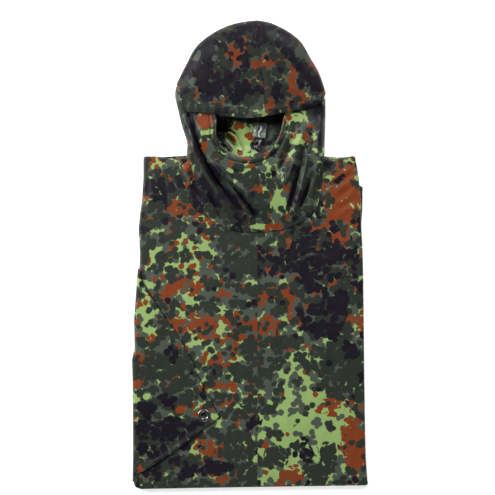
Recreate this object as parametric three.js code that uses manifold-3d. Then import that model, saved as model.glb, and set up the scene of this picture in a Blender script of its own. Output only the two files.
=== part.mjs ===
// Rain poncho in a spotted camouflage print, folded and laid on its back with the hood at the top.
// Millimetres: X to the right, Y toward the top of the hood, Z up from the surface it lies on.
import * as THREE from "three";
import { mergeVertices } from "three/addons/utils/BufferGeometryUtils.js";
import Module from "manifold-3d";

const wasm = await Module();
wasm.setup();

// Cloth
const wall = 1.4;
const restGap = 0.4;
const seamGap = 0.3;
const hemRise = 0.8;

// Folded body
const stackHeight = 14;
const stackBulge = 3;
const foldRadius = 5;
const bodyBottom = -467.4;
const bodyColumns = 16;
const bodyRows = 22;
const foldSteps = 4;
const foldTurn = THREE.MathUtils.degToRad(130);

// Corner wrapped over the front
const cornerTop = -30;
const cornerBottom = -444;
const cornerHem = 12;
const cornerColumns = 7;
const cornerTurn = THREE.MathUtils.degToRad(115);

// Eyelet in that corner
const eyelet = { x: -92, y: -323.6, flange: 12, hole: 6.2, barrel: 7.4, lift: 1.6, foot: 0.8, crest: 1.9 };

// Hood
const hoodTop = 467.4;
const sideRoll = 14;
const tunnelWidth = 11;
const tunnelHeight = 2.4;
const throatColumns = 32;
const throatRows = 13;
const rollSteps = 4;
const crownRoll = 48;
const crownTurn = THREE.MathUtils.degToRad(108);
const crownSteps = 6;
const brimHem = 14;
const backColumns = 18;
const backRows = 18;
const sideInset = 3;
const crownInset = 4.9;

// Side folds of the body from the bottom to the shoulders: the outermost fold on the left, the fold
// of the front sheet there, which stays inside the wrapped corner, and the fold on the right.
const bodySides = [
  { y: -467.4, left: -229, front: -229, right: 237.2 },
  { y: -458, left: -236, front: -233.5, right: 235.4 },
  { y: -442, left: -235.5, front: -232.6, right: 234 },
  { y: -409, left: -235, front: -232.2, right: 232 },
  { y: -359, left: -235, front: -232.2, right: 230.6 },
  { y: -300, left: -235.3, front: -232.2, right: 229.8 },
  { y: -255, left: -235.8, front: -232, right: 229.2 },
  { y: -213, left: -237, front: -230, right: 228.7 },
  { y: -187, left: -231.5, front: -228.5, right: 228.5 },
  { y: -134, left: -233, front: -228.5, right: 227.9 },
  { y: -80, left: -229, front: -226, right: 227.2 },
  { y: -46, left: -227, front: -223.6, right: 226.8 },
  { y: -13, left: -222.5, front: -221, right: 226 },
  { y: 5, left: -221, front: -221, right: 225.5 },
  { y: 51, left: -223.5, front: -223.5, right: 223 },
  { y: 85, left: -220, front: -220, right: 222.4 },
  { y: 105, left: -217, front: -217, right: 222 },
  { y: 151, left: -214, front: -214, right: 217.6 },
  { y: 197, left: -214, front: -214, right: 210 },
];

// Shoulder fold, and how far the layer behind it stands out.
const shoulder = [
  { x: -214, y: 195, behind: 0.4 },
  { x: -186, y: 195, behind: 0.8 },
  { x: -176, y: 191, behind: 3.6 },
  { x: -128, y: 190.5, behind: 7 },
  { x: 140, y: 191, behind: 5 },
  { x: 175, y: 190.5, behind: 3 },
  { x: 190, y: 193.4, behind: 1 },
  { x: 212, y: 196.4, behind: 0.4 },
];

// The lower layer standing out past the right side fold.
const rightLayer = [
  { y: 40, out: 0 },
  { y: 74, out: 2.4 },
  { y: 105, out: 4.4 },
  { y: 132, out: 7.6 },
  { y: 137, out: 0.4 },
];

// Rings down the side of the hidden layers: inset from the side fold, height, share of the standing out.
const layerRings = [
  { inset: 3.6, z: 5.5, out: 0 },
  { inset: 1.2, z: 4.7, out: 1 },
  { inset: 0.3, z: 2.8, out: 1 },
  { inset: 2.8, z: 0, out: 1 },
];

// Free edge of the wrapped corner from its top, round the tip, to its foot.
const cornerEdge = [
  { y: -447, x: -233 },
  { y: -438, x: -218 },
  { y: -427, x: -199 },
  { y: -408, x: -171 },
  { y: -382, x: -132 },
  { y: -350, x: -93 },
  { y: -338, x: -75 },
  { y: -327, x: -63 },
  { y: -308, x: -71 },
  { y: -278, x: -88 },
  { y: -230, x: -111 },
  { y: -193, x: -127 },
  { y: -152, x: -153 },
  { y: -111, x: -183 },
  { y: -68, x: -209 },
  { y: -47, x: -218 },
  { y: -24, x: -223.5 },
];

// Seam between hood and body.
const neckSeam = [
  { x: -126, y: 129 },
  { x: -117, y: 97 },
  { x: -76, y: 66 },
  { x: -45, y: 48 },
  { x: 10, y: 43 },
  { x: 58, y: 47 },
  { x: 100, y: 62 },
  { x: 128, y: 82 },
  { x: 143, y: 120 },
];

// Outline of the hood, up the left side and down the right.
const hoodLeft = [
  { x: -128, y: 129 },
  { x: -129, y: 165 },
  { x: -127, y: 195 },
  { x: -127, y: 225 },
  { x: -138, y: 261 },
  { x: -146, y: 295 },
  { x: -151, y: 318 },
  { x: -149, y: 333 },
];
const hoodRight = [
  { x: 145, y: 120 },
  { x: 145, y: 155 },
  { x: 148, y: 189 },
  { x: 150, y: 225 },
  { x: 151.5, y: 275 },
  { x: 151.5, y: 312 },
];
const crownOutlineLeft = [
  { x: -147, y: 340 },
  { x: -129, y: 372 },
  { x: -105, y: 415 },
  { x: -68, y: 444 },
  { x: -28, y: 461 },
  { x: 14, y: hoodTop },
];
const crownOutlineRight = [
  { x: 14, y: hoodTop },
  { x: 40, y: 462 },
  { x: 72, y: 444 },
  { x: 98, y: 421 },
  { x: 119, y: 388 },
  { x: 136, y: 361 },
  { x: 152, y: 322 },
];

// Brim of the hood, on each side of the seam over the head.
const brimLeft = [
  { x: -126, y: 283 },
  { x: -74, y: 278 },
  { x: -28, y: 270.5 },
  { x: 5, y: 270 },
  { x: 30, y: 273 },
];
const brimRight = [
  { x: 30, y: 273 },
  { x: 88, y: 285 },
  { x: 121, y: 293 },
  { x: 143, y: 301 },
];

// Upper border of the cheeks and throat: under the brim, and round the face opening.
const faceRim = [
  { x: -100, y: 312 },
  { x: -74, y: 296 },
  { x: -67, y: 272 },
  { x: -66, y: 232 },
  { x: -53, y: 210 },
  { x: -30, y: 197 },
  { x: 2, y: 192 },
  { x: 28, y: 200 },
  { x: 45, y: 214 },
  { x: 59, y: 240 },
  { x: 67, y: 272 },
  { x: 76, y: 296 },
  { x: 105, y: 303 },
];

// Which place of the neck seam each place of the upper border hangs from.
const throatLines = [
  { border: 0, seam: 0 },
  { border: 0.25, seam: 0.15 },
  { border: 0.36, seam: 0.25 },
  { border: 0.5, seam: 0.48 },
  { border: 0.66, seam: 0.76 },
  { border: 0.77, seam: 0.86 },
  { border: 1, seam: 1 },
];

// Lowest part of the back of the hood, where it lies on the folded body.
const backFootLeft = [
  { x: -112, y: 182 },
  { x: -114, y: 206 },
];
const backFootRight = [
  { x: 131, y: 182 },
  { x: 135, y: 206 },
];

// Main folds of the throat, ridges up and troughs down.
const throatFolds = [
  { x1: -112, y1: 197, x2: -86, y2: 151, x3: -40, y3: 84, rise: 3, width: 8 },
  { x1: -103, y1: 201, x2: -68, y2: 141, x3: -18, y3: 84, rise: -3.5, width: 8 },
  { x1: -76, y1: 173, x2: -36, y2: 141, x3: 0, y3: 109, rise: 3.5, width: 9 },
  { x1: -50, y1: 139, x2: -22, y2: 122, x3: 4, y3: 81, rise: -3, width: 8 },
  { x1: 110, y1: 207, x2: 98, y2: 167, x3: 80, y3: 93, rise: -4, width: 8 },
  { x1: 98, y1: 195, x2: 88, y2: 172, x3: 76, y3: 140, rise: 2.5, width: 8 },
  { x1: 116, y1: 188, x2: 108, y2: 150, x3: 94, y3: 103, rise: 3.5, width: 9 },
  { x1: 80, y1: 193, x2: 60, y2: 169, x3: 38, y3: 133, rise: -2, width: 9 },
];

// Folds of the hood's back that show through the face opening.
const backFolds = [
  { x1: -72, y1: 236, x2: -44, y2: 246, x3: -16, y3: 214, rise: 2.6, width: 11 },
  { x1: -40, y1: 262, x2: -10, y2: 252, x3: 4, y3: 224, rise: 2, width: 11 },
  { x1: 44, y1: 268, x2: 52, y2: 248, x3: 40, y3: 222, rise: 2.4, width: 11 },
];

// Blank labels inside the back of the neck.
const careLabel = { x: 19, y: 248, width: 26, length: 30, turn: -0.05, thickness: 1, lift: 0.9 };
const tabLabel = { x: 15.5, y: 219, width: 14, length: 25, turn: -0.08, thickness: 1, lift: 1.3 };

const clothColour = 0x4b5240;
const clothLook = { roughness: 0.55, metalness: 0 };

function lerp(a, b, t) {
  return a + (b - a) * t;
}

function ramp(value, from, to) {
  const t = Math.min(1, Math.max(0, (value - from) / (to - from)));
  return t * t * (3 - 2 * t);
}

// Value of a table's column at a key between its rows.
function readTable(table, key, column, at) {
  const last = table.length - 1;
  if (at <= table[0][key]) return table[0][column];
  if (at >= table[last][key]) return table[last][column];
  const row = table.findIndex((entry) => entry[key] >= at);
  const from = table[row - 1];
  const to = table[row];
  return lerp(from[column], to[column], (at - from[key]) / (to[key] - from[key]));
}

// Smooth curve in plan through the rows of a table.
function pathOf(table) {
  const points = table.map((row) => new THREE.Vector3(row.x, row.y, 0));
  return new THREE.CatmullRomCurve3(points, false, "centripetal");
}

function distanceToSegment(x, y, x1, y1, x2, y2) {
  const dx = x2 - x1;
  const dy = y2 - y1;
  const t = Math.min(1, Math.max(0, ((x - x1) * dx + (y - y1) * dy) / (dx * dx + dy * dy)));
  return Math.hypot(x - x1 - dx * t, y - y1 - dy * t);
}

// Height that a table of folds adds at a place.
function foldHeight(folds, x, y) {
  return folds.reduce((sum, fold) => {
    const first = distanceToSegment(x, y, fold.x1, fold.y1, fold.x2, fold.y2);
    const second = distanceToSegment(x, y, fold.x2, fold.y2, fold.x3, fold.y3);
    const reach = Math.min(first, second) / fold.width;
    return sum + fold.rise * Math.exp(-reach * reach);
  }, 0);
}

// Place in a patch between four border curves.
function patchPlace(borders, u, v) {
  const low = borders.low(u);
  const high = borders.high(u);
  const left = borders.left(v);
  const right = borders.right(v);
  const place = new THREE.Vector3();
  for (const axis of ["x", "y"]) {
    const across = lerp(low[axis], high[axis], v) + lerp(left[axis], right[axis], u);
    const cornersLow = lerp(borders.low(0)[axis], borders.low(1)[axis], u);
    const cornersHigh = lerp(borders.high(0)[axis], borders.high(1)[axis], u);
    place[axis] = across - lerp(cornersLow, cornersHigh, v);
  }
  return place;
}

// Grid of points, rows along Y and columns along X.
function makeGrid(rows, columns, pointAt) {
  const grid = [];
  for (let i = 0; i <= rows; i += 1) {
    const line = [];
    for (let j = 0; j <= columns; j += 1) line.push(pointAt(i, j));
    grid.push(line);
  }
  return grid;
}

// Adds rings beyond chosen sides of a grid. overEdge gives a ring's point from the border point
// that it starts at and the plan direction outward.
function addRings(grid, steps, sides, overEdge) {
  const rows = grid.length - 1;
  const columns = grid[0].length - 1;
  const down = sides.low ? steps : 0;
  const up = sides.high ? steps : 0;
  const left = sides.left ? steps : 0;
  const right = sides.right ? steps : 0;
  const outward = (i, j, alongRow) => {
    const before = alongRow ? grid[Math.max(0, i - 1)][j] : grid[i][Math.max(0, j - 1)];
    const after = alongRow ? grid[Math.min(rows, i + 1)][j] : grid[i][Math.min(columns, j + 1)];
    const direction = new THREE.Vector3(after.y - before.y, before.x - after.x, 0).normalize();
    if (alongRow ? j === 0 : i > 0) direction.negate();
    return direction;
  };
  return makeGrid(rows + down + up, columns + left + right, (row, column) => {
    const i = row - down;
    const j = column - left;
    const nearI = Math.min(rows, Math.max(0, i));
    const nearJ = Math.min(columns, Math.max(0, j));
    const pastI = Math.abs(i - nearI);
    const pastJ = Math.abs(j - nearJ);
    const start = grid[nearI][nearJ];
    const ring = Math.max(pastI, pastJ);
    if (ring === 0) return start.clone();
    const share = pastJ >= pastI ? 0.5 * (pastI / pastJ) : 1 - 0.5 * (pastJ / pastI);
    const angle = (share * Math.PI) / 2;
    const direction = new THREE.Vector3();
    if (pastJ > 0) direction.addScaledVector(outward(nearI, nearJ, true), Math.cos(angle));
    if (pastI > 0) direction.addScaledVector(outward(nearI, nearJ, false), Math.sin(angle));
    return overEdge(start, direction.normalize(), ring, nearI, nearJ);
  });
}

// Point on an arc that leaves a border level and turns down.
function onArc(start, direction, angle, acrossRadius, downRadius) {
  const point = start.clone().addScaledVector(direction, acrossRadius * Math.sin(angle));
  point.z = start.z - downRadius * (1 - Math.cos(angle));
  return point;
}

// Outward normal at each point of a grid, from the cells that meet there.
function normalsOf(grid) {
  const rows = grid.length - 1;
  const columns = grid[0].length - 1;
  const cells = makeGrid(rows - 1, columns - 1, (i, j) => {
    const rising = new THREE.Vector3().subVectors(grid[i + 1][j + 1], grid[i][j]);
    const falling = new THREE.Vector3().subVectors(grid[i + 1][j], grid[i][j + 1]);
    return rising.cross(falling).normalize();
  });
  return makeGrid(rows, columns, (i, j) => {
    const normal = new THREE.Vector3();
    for (const row of [i - 1, i]) {
      for (const column of [j - 1, j]) normal.add(cells[row]?.[column] ?? new THREE.Vector3());
    }
    return normal.normalize();
  });
}

// The same grid moved along its normals by a distance for each point.
function movedGrid(grid, distanceAt) {
  const normals = normalsOf(grid);
  return makeGrid(grid.length - 1, grid[0].length - 1, (i, j) =>
    grid[i][j].clone().addScaledVector(normals[i][j], distanceAt(i, j)),
  );
}

function geometryFrom(positions, triangles) {
  const geometry = new THREE.BufferGeometry();
  geometry.setAttribute("position", new THREE.Float32BufferAttribute(positions, 3));
  geometry.setIndex(triangles);
  geometry.computeVertexNormals();
  return geometry;
}

// Numbers of a grid's border points, anticlockwise from above.
function borderOf(rows, columns) {
  const at = (i, j) => i * (columns + 1) + j;
  const border = [];
  for (let j = 0; j < columns; j += 1) border.push(at(0, j));
  for (let i = 0; i < rows; i += 1) border.push(at(i, columns));
  for (let j = columns; j > 0; j -= 1) border.push(at(rows, j));
  for (let i = rows; i > 0; i -= 1) border.push(at(i, 0));
  return border;
}

// Triangles of a grid, split along the shorter diagonal.
function gridTriangles(grid) {
  const columns = grid[0].length - 1;
  const at = (i, j) => i * (columns + 1) + j;
  const triangles = [];
  for (let i = 0; i < grid.length - 1; i += 1) {
    for (let j = 0; j < columns; j += 1) {
      const a = at(i, j);
      const b = at(i, j + 1);
      const c = at(i + 1, j + 1);
      const d = at(i + 1, j);
      const rising = grid[i][j].distanceTo(grid[i + 1][j + 1]);
      const falling = grid[i][j + 1].distanceTo(grid[i + 1][j]);
      if (rising <= falling) triangles.push([a, b, c], [a, c, d]);
      else triangles.push([a, b, d], [b, c, d]);
    }
  }
  return triangles;
}

// Closed cloth wall between an outer grid and an inner one behind it.
function wallBetween(outer, inner) {
  const rows = outer.length - 1;
  const columns = outer[0].length - 1;
  const count = (rows + 1) * (columns + 1);
  const positions = [...outer.flat(), ...inner.flat()].flatMap((point) => point.toArray());
  const faces = gridTriangles(outer);
  const triangles = faces.flatMap(([a, b, c]) => [a, b, c, c + count, b + count, a + count]);
  const border = borderOf(rows, columns);
  border.forEach((from, index) => {
    const to = border[(index + 1) % border.length];
    triangles.push(from, from + count, to + count, from, to + count, to);
  });
  return geometryFrom(positions, triangles);
}

function clothWall(outer, thickness = () => wall) {
  return wallBetween(outer, movedGrid(outer, (i, j) => -thickness(i, j)));
}

// Closed solid under a grid whose border lies flat on the floor.
function solidUnder(grid) {
  const rows = grid.length - 1;
  const columns = grid[0].length - 1;
  const points = [...grid.flat(), new THREE.Vector3(0, (bodyBottom + 190) / 2, 0)];
  const positions = points.flatMap((point) => point.toArray());
  const triangles = gridTriangles(grid).flat();
  const border = borderOf(rows, columns);
  border.forEach((from, index) => {
    triangles.push(from, points.length - 1, border[(index + 1) % border.length]);
  });
  return geometryFrom(positions, triangles);
}

function solidOf(geometry) {
  const bare = geometry.clone();
  bare.deleteAttribute("normal");
  bare.deleteAttribute("uv");
  const merged = mergeVertices(bare, 1e-4);
  const vertProperties = new Float32Array(merged.attributes.position.array);
  const triVerts = new Uint32Array(merged.index.array);
  return new wasm.Manifold(new wasm.Mesh({ numProp: 3, vertProperties, triVerts }));
}

function cutAway(geometry, cutter) {
  const mesh = solidOf(geometry).subtract(solidOf(cutter)).getMesh();
  return geometryFrom(Array.from(mesh.vertProperties), Array.from(mesh.triVerts));
}

// Top of the body's front sheet away from its edges.
function frontHeight(x, y) {
  const acrossBody = 1 - Math.abs(x / 232) ** 4;
  const alongBody = 1 - Math.abs((y + 136) / 335) ** 6;
  const level = Math.max(0, acrossBody) * Math.max(0, alongBody);
  const wave = 0.7 * Math.sin(x / 37 + 0.8 * Math.sin(y / 61)) * Math.sin(y / 53 + 1.3);
  return stackHeight + level * (stackBulge + wave);
}

// Plan grid of the body, inside its fold radius.
function bodyGrid(dropped) {
  return makeGrid(bodyRows, bodyColumns, (i, j) => {
    const v = i / bodyRows;
    const level = lerp(bodyBottom + foldRadius, 195 - foldRadius, v);
    const left = readTable(bodySides, "y", "front", level) + foldRadius;
    const right = readTable(bodySides, "y", "right", level) - foldRadius;
    const x = lerp(left, right, j / bodyColumns);
    const top = readTable(shoulder, "x", "y", x) - foldRadius;
    const y = lerp(bodyBottom + foldRadius, top, v);
    return new THREE.Vector3(x, y, frontHeight(x, y) - dropped);
  });
}

const everySide = { low: true, high: true, left: true, right: true };

function frontPanel() {
  const outer = addRings(bodyGrid(0), foldSteps, everySide, (start, direction, ring) =>
    onArc(start, direction, (foldTurn * ring) / foldSteps, foldRadius, foldRadius),
  );
  const seam = pathOf(neckSeam);
  const hole = [];
  for (let step = 0; step <= 24; step += 1) {
    const point = seam.getPointAt(step / 24);
    const along = seam.getTangentAt(step / 24);
    hole.push(new THREE.Vector2(point.x - along.y * 9, point.y + along.x * 9));
  }
  hole.push(new THREE.Vector2(134, 210), new THREE.Vector2(-118, 210));
  const cutter = new THREE.ExtrudeGeometry(new THREE.Shape(hole), { depth: 40, bevelEnabled: false });
  return cutAway(clothWall(outer), cutter.translate(0, 0, -5));
}

// Distance that the hidden layers stand out past the front's folds.
function standingOut(start, direction) {
  const across = Math.abs(direction.x) > 0.7 ? 1 : 0;
  const right = direction.x > 0 ? readTable(rightLayer, "y", "out", start.y) : 0;
  const top = direction.y > 0.5 ? readTable(shoulder, "x", "behind", start.x) : 0;
  return across * right + (1 - across) * top;
}

function foldedLayers() {
  const dropped = wall + restGap;
  const arcSteps = 4;
  const radius = foldRadius - dropped;
  const steps = arcSteps + layerRings.length;
  const outer = addRings(bodyGrid(dropped), steps, everySide, (start, direction, ring) => {
    if (ring <= arcSteps) return onArc(start, direction, (foldTurn * ring) / arcSteps, radius, radius);
    const layer = layerRings[ring - arcSteps - 1];
    const reach = foldRadius - layer.inset + layer.out * standingOut(start, direction);
    const point = start.clone().addScaledVector(direction, reach);
    point.z = layer.z;
    return point;
  });
  return solidUnder(outer);
}

// Top of the wrapped corner, lifted and levelled round its eyelet.
function cornerHeight(x, y) {
  const resting = frontHeight(x, y) + restGap + wall;
  const level = frontHeight(eyelet.x, eyelet.y) + eyelet.lift + wall;
  const away = Math.hypot(x - eyelet.x, y - eyelet.y);
  return lerp(resting, level, ramp(away, 62, 34));
}

function cornerRows() {
  const rows = [];
  const count = 11;
  for (let i = 0; i <= count; i += 1) rows.push(lerp(cornerBottom, -327, i / count));
  for (let i = 1; i <= count; i += 1) rows.push(lerp(-327, cornerTop, i / count));
  return rows;
}

function cornerFlap() {
  const radius = foldRadius + wall + restGap;
  const rows = cornerRows();
  const inner = makeGrid(rows.length - 1, cornerColumns + 2, (i, j) => {
    const y = rows[i];
    const left = readTable(bodySides, "y", "left", y) + radius;
    const free = Math.max(left + 3, readTable(cornerEdge, "y", "x", y));
    const hem = Math.max(left + 1, free - Math.min(cornerHem, (free - left) / 2));
    let x = lerp(left, hem - 1, j / cornerColumns);
    if (j === cornerColumns + 1) x = hem;
    if (j === cornerColumns + 2) x = free;
    const hemmed = j > cornerColumns ? hemRise * ramp(free - left, 6, 30) : 0;
    return new THREE.Vector3(x, y, cornerHeight(x, y) + hemmed);
  });
  const steps = 4;
  const outer = addRings(inner, steps, { left: true }, (start, direction, ring) =>
    onArc(start, new THREE.Vector3(-1, 0, 0), (cornerTurn * ring) / steps, radius, radius),
  );
  const thickness = (i, j) => {
    if (j < steps) return wall;
    return wall + outer[i][j].z - cornerHeight(outer[i][j].x, outer[i][j].y);
  };
  const hole = new THREE.CylinderGeometry(eyelet.barrel + 0.5, eyelet.barrel + 0.5, 12, 32);
  hole.rotateX(Math.PI / 2);
  hole.translate(eyelet.x, eyelet.y, cornerHeight(eyelet.x, eyelet.y));
  return cutAway(clothWall(outer, thickness), hole);
}

function eyeletRing() {
  const over = wall + restGap;
  const profile = [
    { r: eyelet.hole, z: -restGap - eyelet.foot },
    { r: eyelet.flange - 1, z: -restGap - eyelet.foot },
    { r: eyelet.flange - 1, z: -restGap },
    { r: eyelet.barrel, z: -restGap },
    { r: eyelet.barrel, z: over },
    { r: eyelet.flange, z: over },
    { r: eyelet.flange - 0.6, z: over + 0.55 * eyelet.crest },
    { r: 0.45 * eyelet.flange + 0.55 * eyelet.hole, z: over + eyelet.crest },
    { r: eyelet.hole + 0.6, z: over + 0.7 * eyelet.crest },
    { r: eyelet.hole, z: over },
    { r: eyelet.hole, z: -restGap - eyelet.foot },
  ];
  const ring = new THREE.LatheGeometry(profile.map((row) => new THREE.Vector2(row.r, row.z)), 32);
  ring.rotateX(Math.PI / 2);
  return ring;
}

// Top of the hood's crown away from its rolled border.
function crownHeight(x, y) {
  const domed = 36.5 - 16 * Math.abs(x / 140) ** 2.5;
  return domed - 2.5 * ramp(y, 320, 268) - 2 * ramp(Math.abs(x - seamX(y)), 12, 0);
}

function seamX(y) {
  return lerp(30, 14, (y - 273) / (hoodTop - 273));
}

// One half of the crown, from the brim over to its turned-under border.
function crownHalf(brimTable, outlineTable, columns, seamSide) {
  const brim = pathOf(brimTable);
  const outline = pathOf(outlineTable);
  const freeRows = 3;
  const hemRows = 2;
  const gapShift = new THREE.Vector3(seamSide * (seamGap / 2), 0, 0);
  const lineAt = (j) => {
    const share = j / columns;
    const from = brim.getPointAt(share).add(gapShift);
    const to = outline.getPointAt(share).add(gapShift);
    const length = from.distanceTo(to);
    return { from, to, length, roll: Math.min(crownRoll, length / 2) };
  };
  const inner = makeGrid(hemRows + freeRows, columns, (i, j) => {
    const line = lineAt(j);
    const distances = [0, Math.min(brimHem, 0.3 * line.length)];
    const level = line.length - line.roll;
    for (let k = 0; k <= freeRows; k += 1) {
      distances.push(lerp(distances[1] + 0.08 * line.length, level, k / freeRows));
    }
    const point = line.from.clone().lerp(line.to, distances[i] / line.length);
    point.z = crownHeight(point.x, point.y) + (i < hemRows ? hemRise : 0);
    return point;
  });
  const outer = addRings(inner, crownSteps, { high: true }, (start, direction, ring, i, j) => {
    const line = lineAt(j);
    const outwardLine = line.to.clone().sub(line.from).normalize();
    const downRadius = start.z / (1 - Math.cos(crownTurn));
    return onArc(start, outwardLine, (crownTurn * ring) / crownSteps, line.roll, downRadius);
  });
  const under = movedGrid(outer, (i) => (i < hemRows ? -wall - hemRise : -wall));
  const seamColumn = seamSide < 0 ? columns : 0;
  const seamLine = lineAt(seamColumn);
  const seamDirection = seamLine.to.clone().sub(seamLine.from).normalize();
  const acrossSeam = new THREE.Vector3(seamDirection.y, -seamDirection.x, 0);
  under.forEach((row, i) => {
    const aside = row[seamColumn].clone().sub(outer[i][seamColumn]).dot(acrossSeam);
    row[seamColumn].addScaledVector(acrossSeam, -aside);
  });
  return wallBetween(outer, under);
}

// Height of what the side of the hood comes down onto.
function underHood(x, y) {
  const onBody = frontHeight(x, Math.min(y, 186));
  return lerp(onBody, 0, ramp(y, 200, 224));
}

function throatHeight(x, y, v) {
  const rounded = 30 - 3 * (x / 140) ** 2;
  const cheek = crownHeight(x, Math.min(y, 330)) - 5.2 - 7 * ramp(y, 300, 330);
  const open = lerp(rounded, cheek, ramp(y, 232, 284));
  const seam = frontHeight(x, y) + 1.5 * restGap + wall;
  const lifted = lerp(seam, open, ramp(v, -0.05, 0.42));
  return lifted + foldHeight(throatFolds, x, y) * ramp(v, 0, 0.2);
}

// Turn of the side roll that brings the hood's edge down onto what lies under it.
function sideTurn(edgeHeight, x, y) {
  const room = edgeHeight - underHood(x, y) - restGap;
  const short = (room - wall) / (1 - wall / sideRoll);
  if (short >= sideRoll) return { angle: Math.PI / 2, down: room };
  return { angle: Math.acos(1 - Math.max(0.3, short) / sideRoll), down: sideRoll };
}

// Border of the throat at a side, inside its roll.
function sideBorder(table, inward) {
  const path = pathOf(table);
  return (v) => {
    const point = path.getPointAt(v);
    const edgeX = point.x + inward * sideRoll;
    const turn = sideTurn(throatHeight(edgeX, point.y, v), edgeX, point.y);
    point.x += inward * sideRoll * Math.sin(turn.angle);
    return point;
  };
}

function throatGrid() {
  const left = sideBorder(hoodLeft, 1);
  const right = sideBorder(hoodRight, -1);
  const seamTable = [left(0), ...neckSeam.slice(1, -1), right(0)];
  const borderTable = [left(1), ...faceRim, right(1)];
  const seam = pathOf(seamTable);
  const border = pathOf(borderTable);
  const low = (u) => seam.getPointAt(readTable(throatLines, "border", "seam", u));
  const high = (u) => border.getPointAt(u);
  const borders = { low, high, left, right };
  return makeGrid(throatRows, throatColumns, (i, j) => {
    const u = j / throatColumns;
    const length = low(u).distanceTo(high(u));
    const plain = 1 - tunnelWidth / length;
    const rowShares = { [throatRows]: 1, [throatRows - 1]: lerp(plain, 1, 0.5) };
    const v = rowShares[i] ?? (plain * i) / (throatRows - 2);
    const point = patchPlace(borders, u, v);
    point.z = throatHeight(point.x, point.y, v);
    return point;
  });
}

function hoodThroat(grid) {
  const outer = addRings(grid, rollSteps, { left: true, right: true }, (start, direction, ring) => {
    const turn = sideTurn(start.z, start.x, start.y);
    return onArc(start, direction, (turn.angle * ring) / rollSteps, sideRoll, turn.down);
  });
  return clothWall(outer);
}

// Strip round the face opening, made from the throat's last rows moved out.
function drawcordTunnel(grid) {
  const first = Math.round(0.2 * throatColumns);
  const last = Math.round(0.8 * throatColumns);
  const rows = grid.slice(throatRows - 2).map((line) => line.slice(first, last + 1));
  const under = movedGrid(rows, () => restGap);
  const thickness = [1.1, tunnelHeight, 1.3];
  return wallBetween(movedGrid(rows, (i) => restGap + thickness[i]), under);
}

// Upper face of the hood's back, which falls from the folded body to the floor.
function backHeight(x, y) {
  const onBody = frontHeight(x, Math.min(y, 186)) - wall;
  const resting = lerp(onBody, 0, ramp(y, 190, 219));
  return resting + wall + foldHeight(backFolds, x, y);
}

// Rows of a border table moved inward, to the right of the way that the table runs.
function insideOf(table, distance) {
  const path = pathOf(table);
  return table.map((row, index) => {
    const along = path.getTangent(index / (table.length - 1));
    return { x: row.x + along.y * distance, y: row.y - along.x * distance };
  });
}

function hoodBack() {
  const outline = insideOf([...crownOutlineLeft, ...crownOutlineRight.slice(1)], crownInset);
  const leftSide = insideOf(hoodLeft, sideInset).slice(3);
  const rightSide = insideOf([...hoodRight].reverse(), sideInset).reverse().slice(3);
  const corner = { left: 2, right: outline.length - 4 };
  const left = pathOf([...backFootLeft, ...leftSide, ...outline.slice(0, corner.left + 1)]);
  const top = pathOf(outline.slice(corner.left, corner.right + 1));
  const right = pathOf([...backFootRight, ...rightSide, ...outline.slice(corner.right).reverse()]);
  const low = new THREE.LineCurve3(left.getPointAt(0), right.getPointAt(0));
  const borders = {
    low: (u) => low.getPointAt(u),
    high: (u) => top.getPointAt(u),
    left: (v) => left.getPointAt(v),
    right: (v) => right.getPointAt(v),
  };
  const outer = makeGrid(backRows, backColumns, (i, j) => {
    const point = patchPlace(borders, j / backColumns, (i / backRows) ** 1.5);
    point.z = backHeight(point.x, point.y);
    return point;
  });
  return clothWall(outer);
}

// Blank label lying on the hood's back.
function flatLabel(label) {
  const cells = 4;
  const under = makeGrid(cells, cells, (i, j) => {
    const across = label.width * (j / cells - 0.5);
    const along = label.length * (i / cells - 0.5);
    const x = label.x + across * Math.cos(label.turn) - along * Math.sin(label.turn);
    const y = label.y + across * Math.sin(label.turn) + along * Math.cos(label.turn);
    return new THREE.Vector3(x, y, backHeight(x, y) + label.lift);
  });
  return wallBetween(movedGrid(under, () => label.thickness), under);
}

function addPiece(group, name, geometry, colour, look) {
  const material = new THREE.MeshStandardMaterial({ color: colour, ...look });
  const mesh = new THREE.Mesh(geometry, material);
  mesh.name = name;
  group.add(mesh);
  return mesh;
}

const poncho = new THREE.Group();
const throat = throatGrid();
addPiece(poncho, "folded_layers", foldedLayers(), 0x3c4236, clothLook);
addPiece(poncho, "front_panel", frontPanel(), clothColour, clothLook);
addPiece(poncho, "corner_flap", cornerFlap(), clothColour, clothLook);
addPiece(poncho, "hood_back", hoodBack(), 0x5a6345, clothLook);
addPiece(poncho, "hood_throat", hoodThroat(throat), clothColour, clothLook);
addPiece(poncho, "drawcord_tunnel", drawcordTunnel(throat), 0x47503d, clothLook);
addPiece(poncho, "hood_crown_left", crownHalf(brimLeft, crownOutlineLeft, 10, -1), clothColour, clothLook);
addPiece(poncho, "hood_crown_right", crownHalf(brimRight, crownOutlineRight, 9, 1), clothColour, clothLook);
addPiece(poncho, "care_label", flatLabel(careLabel), 0xa9aeaa, { roughness: 0.35, metalness: 0 });
addPiece(poncho, "neck_label", flatLabel(tabLabel), 0x1a1b1c, { roughness: 0.6, metalness: 0 });
const ring = addPiece(poncho, "eyelet", eyeletRing(), 0x6d6f72, { roughness: 0.3, metalness: 1 });
ring.position.set(eyelet.x, eyelet.y, cornerHeight(eyelet.x, eyelet.y) - wall);

// The middle of the underside of the whole becomes the origin.
const reach = new THREE.Box3().setFromObject(poncho);
const middle = reach.getCenter(new THREE.Vector3());
poncho.position.set(-middle.x, -middle.y, -reach.min.z);

export default poncho;
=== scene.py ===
import math

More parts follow.
